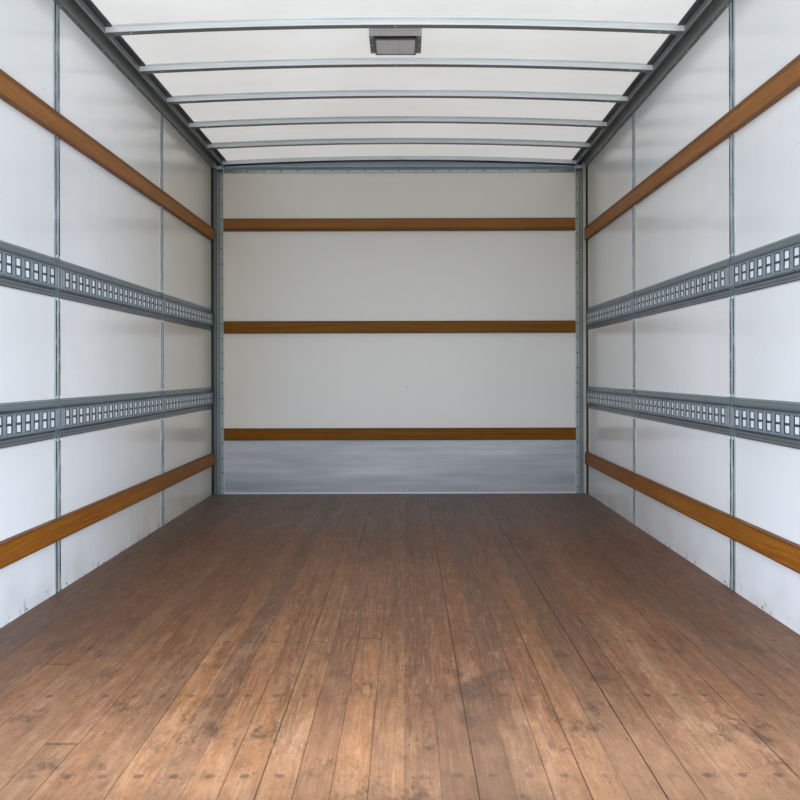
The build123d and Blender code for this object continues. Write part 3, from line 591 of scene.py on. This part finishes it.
def varnished_slat(name, dark, middle, light, line):
    """Clear-varnished oak, its grain along the slat."""
    made, shader = finish(name, IOR=1.30)
    _, x, y, z = place_of(shader)
    along = plus(x, y)
    lie = joined(along, minus(x, y), z)
    warp = streaked(lie, (2.0, 1.0, 6.0), 3.0)
    bent = joined(along, 0.0, plus(z, times(warp, 0.05)))
    broad = streaked(bent, (1.4, 1.0, 110.0), 4.0, 0.6)
    fine = streaked(bent, (10.0, 1.0, 560.0), 4.0, 0.65)
    blotches = streaked(lie, (1.0, 1.0, 3.0), 4.0, 0.6, scale=2.2)
    knots = streaked(lie, (1.0, 1.0, 3.0), 2.0, scale=5.0)
    dents = span(cloud(lie, 70.0, 1.0), 0.76, 0.80)
    tone = ramp(broad, ((0.25, dark), (0.5, middle), (0.75, light)))
    tone = layered(
        tone,
        (fine, 0.42, 0.72, 0.60, line),
        (blotches, 0.45, 0.75, 0.35, dark),
        (knots, 0.72, 0.80, 0.6, line),
        (z, 1.4, 1.7, 0.25, (142, 104, 70)))
    rim = largest([span(absolute(minus(z, edge)), 0.0075, 0.0045)
                   for band in SLAT_BANDS + FRONT_SLATS for edge in band])
    tone = blend(times(rim, 0.55), tone, line)
    tone = blend(times(dents, 0.5), tone, (60, 40, 24))
    feed(shader, Base_Color=tone,
         Roughness=span(fine, 0.3, 0.7, 0.42, 0.58),
         Normal=bump(fine, 0.3, 0.0006))
    return made


def translucent_roof():
    """Thin white sheet that daylight comes through, darker towards the front by painted shade."""
    made, shader = finish("translucent_roof", Roughness=0.42)
    point, _, y, _ = place_of(shader)
    streaks = streaked(point, (1.2, 14.0, 1.0), 3.0)
    patches = cloud(point, 1.7, 4.0)
    tone = mottled(patches, (237, 238, 237), (243, 244, 244))
    tone = layered(tone, (streaks, 0.3, 0.8, 0.15, (226, 227, 226)))
    # Painted shade: the sheet is darker towards the front.
    tone = blend(span(y, 0.25, 0.75, 0.12, 0.46), tone, (245, 240, 237), "MULTIPLY")
    feed(shader, Base_Color=tone)
    through = add("BsdfTranslucent", {"Color": tone})
    both = add("MixShader", {0: 0.68, 1: shader.outputs[0], 2: through.outputs[0]})
    sheet = made.node_tree
    sheet.links.new(both.outputs[0], sheet.nodes["Material Output"].inputs["Surface"])
    return made


def painted(name, low, high, roughness=0.34, metallic=0.0, scale=6.0):
    """A painted or plated surface with slight patches and brush of dust."""
    made, shader = finish(name, Metallic=metallic)
    point = place_of(shader)[0]
    patches = cloud(point, scale, 5.0, 0.6)
    tone = mottled(patches, low, high)
    feed(shader, Base_Color=tone,
         Roughness=span(patches, 0.2, 0.8, roughness - 0.06, roughness + 0.10),
         Normal=bump(cloud(point, 180.0, 2.0), 0.05, 0.0005))
    return made


def rubber_black():
    made, shader = finish("rubber_black", Roughness=0.7)
    point = place_of(shader)[0]
    dust = cloud(point, 24.0, 4.0)
    feed(shader, Base_Color=ramp(dust, ((0.35, (22, 22, 23)), (0.8, (52, 51, 49)))),
         Normal=bump(cloud(point, 300.0, 2.0), 0.1, 0.0004))
    return made


def slot_behind():
    """Pale sheet seen through the slots, standing in for the laminate to give them painted light,
    with painted shadow at each slot's near side, more so farther in.
    """
    made, shader = finish("slot_backing", Roughness=0.5)
    point, _, y, _ = place_of(shader)
    slots = slot_share(y)
    shadow = span(y, -2.0, 1.2, 0.30, 0.48)
    lit = span(minus(slots, shadow), -0.03, 0.03)
    patches = cloud(point, 40.0, 2.0)
    tone = mottled(patches, (226, 233, 240), (246, 250, 254))
    tone = layered(tone, (y, 1.4, 0.1, 0.7, (196, 205, 216)))
    shade = blend(span(y, -1.0, 1.5), (80, 92, 100), (46, 56, 63))
    feed(shader, Base_Color=blend(lit, shade, tone))
    return made


def ribbed_lens(name, low, high, pitch):
    """Moulded lens with fine ribs across it."""
    made, shader = finish(name, Roughness=0.12, IOR=1.49, Coat_Weight=0.5)
    x = place_of(shader)[1]
    wave = sine(times(x, 2.0 * math.pi / pitch))
    tone = ramp(span(wave, -1.0, 1.0), ((0.0, low), (1.0, high)))
    feed(shader, Base_Color=tone, Normal=bump(wave, 0.4, 0.0006))
    return made


wall = wall_laminate()
posts_zinc = post_zinc()
tracks_zinc = track_zinc()
corners_zinc = corner_zinc()
head_zinc = header_zinc()
bows_zinc = bow_zinc()
plate_zinc = scuff_zinc()
rail_coat = half_painted()
floor_wood = hardwood_floor()
side_wood = varnished_slat("side_slat_oak", (112, 64, 14), (146, 90, 26), (172, 116, 44),
                           (78, 42, 10))
front_wood = varnished_slat("front_slat_oak", (92, 50, 0), (122, 76, 2), (146, 98, 12), (56, 30, 2))
roof_sheet = translucent_roof()
frame_paint = painted("frame_paint", (218, 219, 220), (231, 232, 233))
chassis_paint = painted("chassis_paint", (24, 24, 26), (40, 40, 41), 0.42)
mill_aluminium = painted("mill_aluminium", (176, 179, 182), (198, 201, 204), 0.36, 0.9, 11.0)
rod_zinc = painted("rod_zinc", (160, 162, 164), (188, 190, 192), 0.32, 0.9, 14.0)
housing_metal = galvanised("housing_metal", (132, 134, 132), (158, 160, 158), 0.38, 0.5)
bezel_metal = galvanised("bezel_metal", (86, 86, 82), (112, 112, 107), 0.40, 0.4)
gasket_rubber = rubber_black()
dome_lens = ribbed_lens("dome_lens", (168, 163, 166), (190, 185, 188), 0.006)
red_lens = ribbed_lens("red_lens", (132, 8, 8), (182, 20, 18), 0.007)
screw_steel = painted("screw_steel", (96, 96, 98), (134, 134, 136), 0.4, 0.6, 40.0)
floor_screw = painted("floor_screw", (74, 70, 72), (118, 116, 122), 0.5, 0.2, 60.0)
dark_screw = painted("dark_screw", (44, 34, 26), (70, 56, 44), 0.5, 0.2, 60.0)
rivet_steel = painted("rivet_steel", (176, 186, 190), (206, 214, 217), 0.34, 0.6, 40.0)
lit_plate_steel = painted("lit_plate_steel", (150, 172, 190), (190, 206, 220), 0.34, 0.3, 60.0)
dark_rivet = painted("dark_rivet", (70, 74, 76), (100, 104, 106), 0.4, 0.5, 40.0)
foot_rivet = painted("foot_rivet", (98, 110, 116), (124, 137, 143), 0.4, 0.3, 40.0)
bright_rivet = painted("bright_rivet", (220, 228, 232), (240, 244, 246), 0.34, 0.2, 40.0)
slot_white = slot_behind()

FINISH_OF = {
    "side_panel": wall, "front_panel": wall, "door_panel": wall,
    "floor_planks": floor_wood, "side_slats": side_wood, "front_slats": front_wood,
    "wall_posts": posts_zinc, "tracks": tracks_zinc, "inner_corner": corners_zinc,
    "front_header": head_zinc, "roof_bows": bows_zinc, "scuff_plate": plate_zinc,
    "top_rail": rail_coat, "front_top_rail": rail_coat, "roof_skin": roof_sheet,
    "bottom_rail": frame_paint, "front_bottom_rail": frame_paint, "rear_post": frame_paint,
    "rear_header": frame_paint, "rear_sill": frame_paint, "hinge_lugs": frame_paint,
    "front_corner": mill_aluminium, "top_corner": mill_aluminium, "door_frame": mill_aluminium,
    "door_gasket": gasket_rubber,
    "hinge_straps": rod_zinc, "lock_rod": rod_zinc, "rod_guides": rod_zinc,
    "sill": chassis_paint, "crossmembers": chassis_paint,
    "dome_light_housing": housing_metal, "dome_light_lens": dome_lens,
    "tail_lamps": red_lens, "marker_lamps": red_lens,
}
for node_name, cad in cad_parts.items():
    kind = max((start for start in FINISH_OF if node_name.startswith(start)), key=len)
    cad.data.materials.clear()
    cad.data.materials.append(FINISH_OF[kind])


# Piece helpers


def piece(name, shape, material, body, smooth=True):
    """A finished piece from a bmesh, riding on its body."""
    bmesh.ops.recalc_face_normals(shape, faces=shape.faces)
    mesh = bpy.data.meshes.new(name)
    shape.to_mesh(mesh)
    shape.free()
    if smooth:
        mesh.shade_smooth()
    made = bpy.data.objects.new(name, mesh)
    bpy.context.scene.collection.objects.link(made)
    mesh.materials.append(material)
    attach(made, body)


def facing(normal):
    """The turn that takes a piece's own up to the given direction."""
    return Vector((0.0, 0.0, 1.0)).rotation_difference(Vector(normal)).to_matrix().to_4x4()


def stamped(template, places):
    """Copies of what is in a bmesh, one at each (point, normal), in place of the first."""
    first = template.verts[:] + template.edges[:] + template.faces[:]
    for point, normal in places:
        copy = bmesh.ops.duplicate(template, geom=first)["geom"]
        corners = [part for part in copy if isinstance(part, bmesh.types.BMVert)]
        bmesh.ops.transform(template, matrix=Matrix.Translation(point) @ facing(normal),
                            verts=corners)
    pattern = [part for part in first if isinstance(part, bmesh.types.BMVert)]
    bmesh.ops.delete(template, geom=pattern, context="VERTS")
    return template


def rivet_head(radius, rise):
    """A low round head, closed underneath."""
    head = bmesh.new()
    bmesh.ops.create_uvsphere(head, u_segments=10, v_segments=6, radius=radius)
    everything = head.verts[:] + head.edges[:] + head.faces[:]
    cut = bmesh.ops.bisect_plane(head, geom=everything, plane_co=(0, 0, 0), plane_no=UPWARD,
                                 clear_inner=True)
    rim = [part for part in cut["geom_cut"] if isinstance(part, bmesh.types.BMEdge)]
    bmesh.ops.contextual_create(head, geom=rim)
    bmesh.ops.scale(head, vec=(1.0, 1.0, rise / radius), verts=head.verts)
    return head


def screw_head(radius, rise):
    """A flat head with a rounded edge and a driven recess."""
    head = bmesh.new()
    bmesh.ops.create_cone(head, cap_ends=True, segments=10, radius1=radius, radius2=radius * 0.82,
                          depth=rise)
    bmesh.ops.translate(head, vec=(0, 0, rise / 2), verts=head.verts)
    top = max(head.faces, key=lambda face: face.calc_center_median().z)
    bmesh.ops.inset_individual(head, faces=[top], thickness=radius * 0.42)
    bmesh.ops.translate(head, vec=(0, 0, -rise * 0.6), verts=top.verts)
    return head


def ring(inner, outer, rise):
    """A flat ring with rounded shoulders, its own up along Z."""
    band = bmesh.new()
    edge = rise * 0.35
    section = [(inner, 0.0), (inner, rise - edge), (inner + edge, rise), (outer - edge, rise),
               (outer, rise - edge), (outer, 0.0)]
    corners = [band.verts.new((radius, 0.0, height)) for radius, height in section]
    sides = [band.edges.new(pair) for pair in zip(corners, corners[1:] + corners[:1])]
    bmesh.ops.spin(band, geom=corners + sides, cent=(0, 0, 0), axis=(0, 0, 1), angle=2.0 * math.pi,
                   steps=32, use_merge=True)
    return band


def spaced(low, high, pitch):
    """Even places from low to high, about one pitch apart."""
    count = max(1, round((high - low) / pitch))
    return [low + (high - low) * n / count for n in range(count + 1)]


def heads(name, make, size, material, places, body="box"):
    """One piece of rivets, screws or rings of one size, one at each (point, normal)."""
    piece(name, stamped(make(*size), places), material, body)


def mirrored_heads(name, make, size, material, places, body="box"):
    """The same heads on both sides. Places are for the right-hand side."""
    for side, sign in SIDES:
        turned = [((x * sign, y, z), (nx * sign, ny, nz)) for (x, y, z), (nx, ny, nz) in places]
        where = body if body == "box" else f"{body}_{side}"
        heads(f"{name}_{side}", make, size, material, turned, where)


def block(shape, low, high, edge=0.0):
    """A box between two corners added to a bmesh, its edges rounded off."""
    size = Vector(high) - Vector(low)
    middle = (Vector(high) + Vector(low)) / 2.0
    place = Matrix.Translation(middle) @ Matrix.Diagonal((*size, 1.0))
    corners = bmesh.ops.create_cube(shape, size=1.0, matrix=place)["verts"]
    if edge > 0.0:
        rims = {rim for corner in corners for rim in corner.link_edges}
        bmesh.ops.bevel(shape, geom=list(rims), offset=edge, segments=2, profile=0.5,
                        affect="EDGES", material=-1)


def blocks(name, boxes, material, edge=0.0):
    """One piece of the box made of boxes, each a (low corner, high corner)."""
    shape = bmesh.new()
    for low, high in boxes:
        block(shape, low, high, edge)
    piece(name, shape, material, "box", smooth=False)


def mirrored_blocks(name, boxes, material, edge=0.0):
    """The same boxes on both sides. Corners are for the right-hand side."""
    for side, sign in SIDES:
        turned = [((min(x0 * sign, x1 * sign), y0, z0), (max(x0 * sign, x1 * sign), y1, z1))
                  for (x0, y0, z0), (x1, y1, z1) in boxes]
        blocks(f"{name}_{side}", turned, material, edge)


def clear_of_bands(level):
    return all(level < low - 0.012 or level > high + 0.012
               for low, high in SLAT_BANDS + TRACK_BANDS)


def clear_of_seams(y):
    return all(abs(y - seam) > 0.035 for seam in SEAMS)


# Rivets down the ribbed strips over the panel joints
post_places = [((HALF_IN - 0.0015, seam, z), LEFTWARD) for seam in SEAMS
               for z in spaced(Z_FLOOR + 0.03, 2.31, 0.076) if clear_of_bands(z)]
mirrored_heads("post_rivets", rivet_head, (0.0052, 0.0026), rivet_steel, post_places)
OUTER_LEVELS = spaced(0.33, 2.27, 0.097)
outer_places = [((HALF_OUT + 0.003, seam + offset, z), RIGHTWARD)
                for seam in SEAMS for offset in (-0.019, 0.019) for z in OUTER_LEVELS]
mirrored_heads("outer_strip_rivets", rivet_head, (0.0058, 0.0026), rivet_steel, outer_places)

# Rivets along the feet of the slotted tracks, and beside them on the strips they cross
TRACK_FRONT = 2.411
TRACK_INSET = 0.045
track_places = [((HALF_IN - 0.0025, y, z), LEFTWARD) for low, high in TRACK_BANDS
                for start, end in zip((TRACK_FRONT,) + SEAMS, SEAMS + (Y_WALLS,))
                for y in spaced(end + TRACK_INSET, start - TRACK_INSET, 0.155)
                for z in (low + 0.008, high - 0.008)]
mirrored_heads("track_rivets", rivet_head, (0.0050, 0.0018), foot_rivet, track_places)
crossing_places = [((HALF_IN - 0.006, seam + offset, z), LEFTWARD)
                   for low, high in TRACK_BANDS for seam in SEAMS for offset in (-0.014, 0.014)
                   for z in (low - 0.007, high + 0.007)]
mirrored_heads("crossing_rivets", rivet_head, (0.0048, 0.0024), bright_rivet, crossing_places)

# A pale sheet close behind the slots, in front of the wall's own laminate, that gives the slots
# painted light and painted shadow
SECTION_ENDS = (Y_FRONT - 0.030,) + SEAMS + (Y_WALLS,)
backing = [((HALF_IN - 0.0092, end + 0.012, low + 0.038),
            (HALF_IN - 0.0084, start - 0.012, high - 0.038))
           for low, high in TRACK_BANDS for start, end in zip(SECTION_ENDS, SECTION_ENDS[1:])]
mirrored_blocks("slot_backing", backing, slot_white)

# Rivets down the stepped angles in the front corners
corner_places = [((HALF_IN - 0.063, Y_FRONT - 0.003, z), REARWARD)
                 for z in spaced(Z_FLOOR + 0.04, 2.29, 0.095)]
mirrored_heads("corner_rivets", rivet_head, (0.0055, 0.0028), dark_rivet, corner_places)

# Rivets through the top rail's foot and the head band of the front wall
RAIL_RIVET = (0.0050, 0.0024)
rail_places = [((HALF_IN - 0.003, y, 2.339), LEFTWARD)
               for y in spaced(Y_WALLS + 0.05, Y_FRONT - 0.10, 0.135)]
mirrored_heads("top_rail_rivets", rivet_head, RAIL_RIVET, rivet_steel, rail_places)
head_places = [((x, Y_FRONT - 0.003, 2.310), REARWARD) for x in spaced(-1.10, 1.10, 0.11)]
heads("header_rivets", rivet_head, RAIL_RIVET, dark_rivet, head_places)

# Plates over the tops of the corner angles, where the header's ends meet them: the upper part a
# pale bluish painted highlight, the lower tab in painted shade
PLATE_REAR = Y_FRONT - 0.0148
for name, material, low, high in (("header_end_lit_plate", lit_plate_steel, 2.322, 2.342),
                                  ("header_end_shaded_tab", dark_rivet, 2.299, 2.3215)):
    plate = [((HALF_IN - 0.076, PLATE_REAR, low), (HALF_IN - 0.030, PLATE_REAR + 0.0017, high))]
    mirrored_blocks(name, plate, material, 0.0005)
plate_rivets = [((HALF_IN - across, PLATE_REAR, 2.332), REARWARD) for across in (0.066, 0.040)]
mirrored_heads("header_end_rivets", rivet_head, (0.0040, 0.0020), dark_rivet, plate_rivets)

# Nails along the foot of each side wall
nail_places = [((HALF_IN, y, Z_FLOOR + 0.010 + 0.003 * math.sin(5.0 * y)), LEFTWARD)
               for y in spaced(Y_WALLS + 0.08, Y_FRONT - 0.08, 0.30) if clear_of_seams(y)]
mirrored_heads("wall_nails", rivet_head, (0.0050, 0.0014), dark_rivet, nail_places)

# Clips that hold the bows' ends under the rails' lips
clip_boxes = [((1.119, y - 0.020, 2.3395), (1.1438, y + 0.020, 2.3425)) for y in BOW_ROWS]
mirrored_blocks("bow_clips", clip_boxes, dark_rivet, 0.0006)

# Dome light: raised bezel round the lens, a dark sheet behind it as painted shadow, screws in the
# side flanges
LAMP_Z = 2.358
LENS_SIDE, LENS_REAR, LENS_FRONT = 0.080, 0.4897, 0.6357
RIM, RIM_GAP = 0.006, 0.0004
RIM_SIDE, RIM_Z = LENS_SIDE + RIM, LAMP_Z - 0.007
FLANGE_SIDE, FLANGE_REAR, FLANGE_FRONT, FLANGE_Z = 0.1063, 0.4620, 0.6350, LAMP_Z - 0.0022
blocks("dome_light_bezel", [
    ((-RIM_SIDE, LENS_REAR - RIM, RIM_Z), (RIM_SIDE, LENS_REAR - RIM_GAP, LAMP_Z)),
    ((-RIM_SIDE, LENS_FRONT + RIM_GAP, RIM_Z), (RIM_SIDE, LENS_FRONT + RIM, LAMP_Z)),
    ((-RIM_SIDE, LENS_REAR, RIM_Z), (-LENS_SIDE - RIM_GAP, LENS_FRONT, LAMP_Z)),
    ((LENS_SIDE + RIM_GAP, LENS_REAR, RIM_Z), (RIM_SIDE, LENS_FRONT, LAMP_Z)),
], bezel_metal, 0.001)
blocks("dome_light_flanges", [
    ((-FLANGE_SIDE, FLANGE_REAR, FLANGE_Z), (-RIM_SIDE - 0.001, FLANGE_FRONT, LAMP_Z)),
    ((RIM_SIDE + 0.001, FLANGE_REAR, FLANGE_Z), (FLANGE_SIDE, FLANGE_FRONT, LAMP_Z)),
], bezel_metal, 0.0006)
# Painted shadow: a dark sheet where the raised bezel shades the housing.
blocks("dome_light_shadow_sheet", [((-RIM_SIDE, 0.4622, LAMP_Z - 0.0012), (RIM_SIDE, 0.4832, LAMP_Z))],
       gasket_rubber)
lamp_screws = [((x, y, FLANGE_Z), DOWNWARD)
               for x in (-0.0965, 0.0965) for y in (0.475, 0.548, 0.622)]
heads("dome_light_screws", screw_head, (0.0045, 0.0014), rivet_steel, lamp_screws)

# Screws through the slats, scuff plate, bows and floor
SLAT_THICK = 0.022
slat_places = [((HALF_IN - SLAT_THICK, y + shift, z), LEFTWARD) for low, high in SLAT_BANDS
               for y in spaced(Y_WALLS + 0.06, 2.30, 0.8128)
               for shift, z in ((0.0, low + 0.020), (0.012, high - 0.020))]
mirrored_heads("side_slat_screws", screw_head, (0.0048, 0.0012), screw_steel, slat_places)
front_places = [((x + shift, Y_FRONT - SLAT_THICK, z), REARWARD) for low, high in FRONT_SLATS
                for x in spaced(-1.08, 1.08, 0.72)
                for shift, z in ((0.0, low + 0.020), (0.010, high - 0.020))]
heads("front_slat_screws", screw_head, (0.0042, 0.0012), dark_screw, front_places)
SCUFF_FACE = Y_FRONT - 0.002
scuff_places = [((x, SCUFF_FACE, z), REARWARD)
                for x in spaced(-1.10, 1.10, 0.157) for z in (Z_FLOOR + 0.022, Z_FLOOR + 0.322)]
scuff_places += [((x, SCUFF_FACE, Z_FLOOR + 0.17), REARWARD) for x in spaced(-0.9, 0.9, 0.6)]
heads("scuff_plate_screws", rivet_head, (0.0050, 0.0020), rivet_steel, scuff_places)


def roof_under(x):
    """The height of the roof sheet's underside over a place across."""
    half = HALF_IN - 0.015
    rise = Z_ROOF - Z_EAVE
    radius = (half * half + rise * rise) / (2.0 * rise)
    return Z_ROOF - radius + math.sqrt(radius * radius - x * x)


BOW_DEPTH = 0.025
bow_places = [((x, y, roof_under(x) - BOW_DEPTH), DOWNWARD)
              for y in BOW_ROWS for x in (0.0, -1.05, 1.05)]
heads("bow_screws", rivet_head, (0.0055, 0.0026), rivet_steel, bow_places)

# The floor's screws wander a little off their rows and strips, and the last row is at the sill
floor_places = [((-HALF_IN + STRIP * (n + 0.5) + 0.014 * math.sin(12.9 * n + 4.1 * row),
                  y + 0.007 * math.sin(7.3 * n + 2.0 * row), Z_FLOOR - 0.0009), UPWARD)
                for row, y in enumerate(SCREW_ROWS + [-2.323]) for n in range(STRIPS)]
heads("floor_screws", screw_head, (0.0044, 0.0012), floor_screw, floor_places)

# Rivets outside: rails, front corner posts, panel edges and the roof's edges
RAIL_SIDE, RAIL_FRONT, RAIL_GROOVE = 1.242, 2.463, 0.239
RAIL_RUN = spaced(-2.30, 2.34, 0.13)
OUTER_RIVET, EDGE_RIVET = (0.0060, 0.0024), (0.0054, 0.0022)
PANEL_EDGES = (0.318, 2.278)
outer_rail = [((RAIL_SIDE, y, RAIL_GROOVE), RIGHTWARD) for y in RAIL_RUN]
outer_rail += [((1.245, y, z), RIGHTWARD) for y in SCREW_ROWS for z in (0.124, 0.156)]
mirrored_heads("bottom_rail_rivets", rivet_head, OUTER_RIVET, mill_aluminium, outer_rail)
front_rail = [((x, RAIL_FRONT, RAIL_GROOVE), FORWARD) for x in spaced(-1.11, 1.11, 0.13)]
heads("front_rail_rivets", rivet_head, OUTER_RIVET, mill_aluminium, front_rail)
roof_rail = [((RAIL_SIDE, y, 2.313), RIGHTWARD) for y in RAIL_RUN]
mirrored_heads("outer_rail_rivets", rivet_head, OUTER_RIVET, mill_aluminium, roof_rail)
post_outer = []
for z in OUTER_LEVELS:
    post_outer += [((RAIL_SIDE, 2.386, z), RIGHTWARD), ((1.165, RAIL_FRONT, z), FORWARD)]
mirrored_heads("corner_post_rivets", rivet_head, (0.0058, 0.0024), mill_aluminium, post_outer)
panel_edges = [((HALF_OUT, y, z), RIGHTWARD)
               for z in PANEL_EDGES for y in spaced(-2.32, 2.34, 0.11) if clear_of_seams(y)]
mirrored_heads("panel_edge_rivets", rivet_head, EDGE_RIVET, frame_paint, panel_edges)
front_edges = [((x, 2.460, z), FORWARD) for z in PANEL_EDGES for x in spaced(-1.10, 1.10, 0.11)]
heads("front_panel_rivets", rivet_head, EDGE_RIVET, frame_paint, front_edges)
ROOF_EDGE = 1.192
roof_places = [((ROOF_EDGE, y, roof_under(ROOF_EDGE) + 0.002), (0.03, 0, 1))
               for y in spaced(-2.33, 2.40, 0.10)]
mirrored_heads("roof_edge_rivets", rivet_head, EDGE_RIVET, mill_aluminium, roof_places)

# Lamps' surrounds on the rear frame
grommets = [((x, Y_REAR, 0.135), REARWARD) for x in (-1.165, -1.040, 1.040, 1.165)]
heads("tail_lamp_grommets", ring, (0.0506, 0.0590, 0.0055), gasket_rubber, grommets)
MARKER_Z = 2.338
NEAR, FAR, LOW, HIGH = 0.0324, 0.0368, 0.0114, 0.0154
bezels = []
for x in (-1.130, -0.150, 0.0, 0.150, 1.130):
    for sign in (-1, 1):
        left, right = sorted((x + sign * NEAR, x + sign * FAR))
        low, high = sorted((MARKER_Z + sign * LOW, MARKER_Z + sign * HIGH))
        for x0, x1, z0, z1 in ((left, right, MARKER_Z - HIGH, MARKER_Z + HIGH),
                               (x - NEAR, x + NEAR, low, high)):
            bezels.append(((x0, Y_REAR - 0.005, z0), (x1, Y_REAR + 0.0002, z1)))
blocks("marker_lamp_bezels", bezels, gasket_rubber, 0.0008)


# Doors: places are given for the right door closed, then swung open with it about its hinge
HINGE_X, HINGE_Y = 1.279, -2.454


def swung(x, y, z, along):
    """A point on the closed right door and the way it faces, where they lie with the door open."""
    return (HINGE_X + (y - HINGE_Y), HINGE_X + HINGE_Y - x, z), (along, 0, 0)


DOOR_OUT, DOOR_IN = -2.444, -2.404
STRAP_FACE, GUIDE_FACE = -2.450, -2.448
INNER_EDGE, OUTER_EDGE = 0.041, 1.157
DOOR_FOOT, DOOR_HEAD = 0.249, 2.267
ROD = 0.250
HINGE_LEVELS = [Z_FLOOR + height for height in (0.170, 0.760, 1.350, 1.940)]
GUIDE_LEVELS = [Z_FLOOR + height for height in (0.120, 0.700, 1.400, 1.980)]
strap_bolts = [swung(x, STRAP_FACE, z, -1) for x in (1.115, 1.030, 0.945) for z in HINGE_LEVELS]
mirrored_heads("hinge_bolts", rivet_head, (0.0090, 0.0040), rod_zinc, strap_bolts,
               "door")
guide_bolts = [swung(x, GUIDE_FACE, z, -1) for x in (0.224, 0.276) for z in GUIDE_LEVELS]
mirrored_heads("guide_bolts", rivet_head, (0.0062, 0.0030), rod_zinc, guide_bolts,
               "door")
frame_places = []
for z in spaced(DOOR_FOOT, DOOR_HEAD, 0.155):
    frame_places += [swung(INNER_EDGE, DOOR_IN, z, 1), swung(OUTER_EDGE, DOOR_IN, z, 1),
                     swung(INNER_EDGE, DOOR_OUT, z, -1)]
    if all(abs(z - level) > 0.040 for level in HINGE_LEVELS):
        frame_places.append(swung(OUTER_EDGE, DOOR_OUT, z, -1))
for x in spaced(INNER_EDGE, OUTER_EDGE, 0.16)[1:-1]:
    for z in (DOOR_FOOT, DOOR_HEAD):
        frame_places.append(swung(x, DOOR_IN, z, 1))
        if abs(x - ROD) > 0.045:
            frame_places.append(swung(x, DOOR_OUT, z, -1))
mirrored_heads("door_rivets", rivet_head, (0.0056, 0.0022), rivet_steel, frame_places,
               "door")

# Stage, camera and light
ground = bmesh.new()
bmesh.ops.create_grid(ground, x_segments=1, y_segments=1, size=40.0)
ground_mesh = bpy.data.meshes.new("studio_floor")
ground.to_mesh(ground_mesh)
ground.free()
studio = bpy.data.objects.new("studio_floor", ground_mesh)
bpy.context.scene.collection.objects.link(studio)
studio_paint, studio_shader = finish("studio_floor", Roughness=0.9)
studio_shader.inputs["Base Color"].default_value = (0.80, 0.80, 0.80, 1.0)
ground_mesh.materials.append(studio_paint)

scene = bpy.context.scene
eye = bpy.data.cameras.new("photo_view")
eye.sensor_width = 36.0
eye.lens = 36.0
eye.shift_x = -0.00724
eye.shift_y = -0.03485
eye.clip_start = 0.02
eye.clip_end = 200.0
viewer = bpy.data.objects.new("photo_view", eye)
viewer.location = (0.039, -2.7706, 0.9995)
viewer.rotation_euler = (math.radians(90.0), math.radians(0.143), 0.0)
scene.collection.objects.link(viewer)
scene.camera = viewer


def soft_light(name, place, aim, size, size_y, power, colour):
    """A rectangular soft light that points at a place and doesn't show itself."""
    lamp = bpy.data.lights.new(name, "AREA")
    lamp.shape = "RECTANGLE"
    lamp.size = size
    lamp.size_y = size_y
    lamp.energy = power
    lamp.color = colour
    made = bpy.data.objects.new(name, lamp)
    made.location = place
    made.rotation_euler = (Vector(aim) - Vector(place)).to_track_quat("-Z", "Y").to_euler()
    made.visible_camera = False
    made.visible_glossy = False
    scene.collection.objects.link(made)


soft_light("sky_panel", (0.0, -2.8, 8.0), (0.0, -2.2, 0.0), 9.0, 9.0, 390.0, (0.985, 0.995, 1.0))
soft_light("left_panel", (-7.0, -5.0, 4.5), (0.0, 0.0, 1.2), 5.0, 4.0, 115.0, (1.0, 0.99, 0.97))
soft_light("right_panel", (7.0, -3.0, 4.0), (0.0, 0.0, 1.2), 5.0, 4.0, 70.0, (0.97, 0.99, 1.0))
soft_light("doorway_light", (0.0, -2.26, 1.2), (0.0, 3.0, 1.2), 2.2, 1.9, 21.0, (0.90, 0.95, 1.0))
soft_light("load_space_light", (0.0, -1.35, 1.02), (0.0, 3.0, 1.02), 1.3, 1.2, 27.5,
           (0.88, 0.94, 1.0))
for (side, sign), power in zip(SIDES, (5.0, 4.2)):
    soft_light(f"{side}_wall_light", (0.0, -0.10, 0.64), (sign, -0.10, 0.64), 1.3, 0.8, power,
               (0.83, 0.91, 1.0))

world = bpy.data.worlds.new("studio")
world.use_nodes = True
scene.world = world
sky = world.node_tree
backdrop = sky.nodes["Background"]
rays = sky.nodes.new("ShaderNodeLightPath").outputs
shown = larger(rays["Is Camera Ray"], larger(rays["Is Glossy Ray"], rays["Is Transmission Ray"]))
backdrop.inputs["Color"].default_value = (0.96, 0.98, 1.0, 1.0)
sky.links.new(span(shown, 0.0, 1.0, 0.75, 0.95), backdrop.inputs["Strength"])

scene.view_settings.view_transform = "Standard"
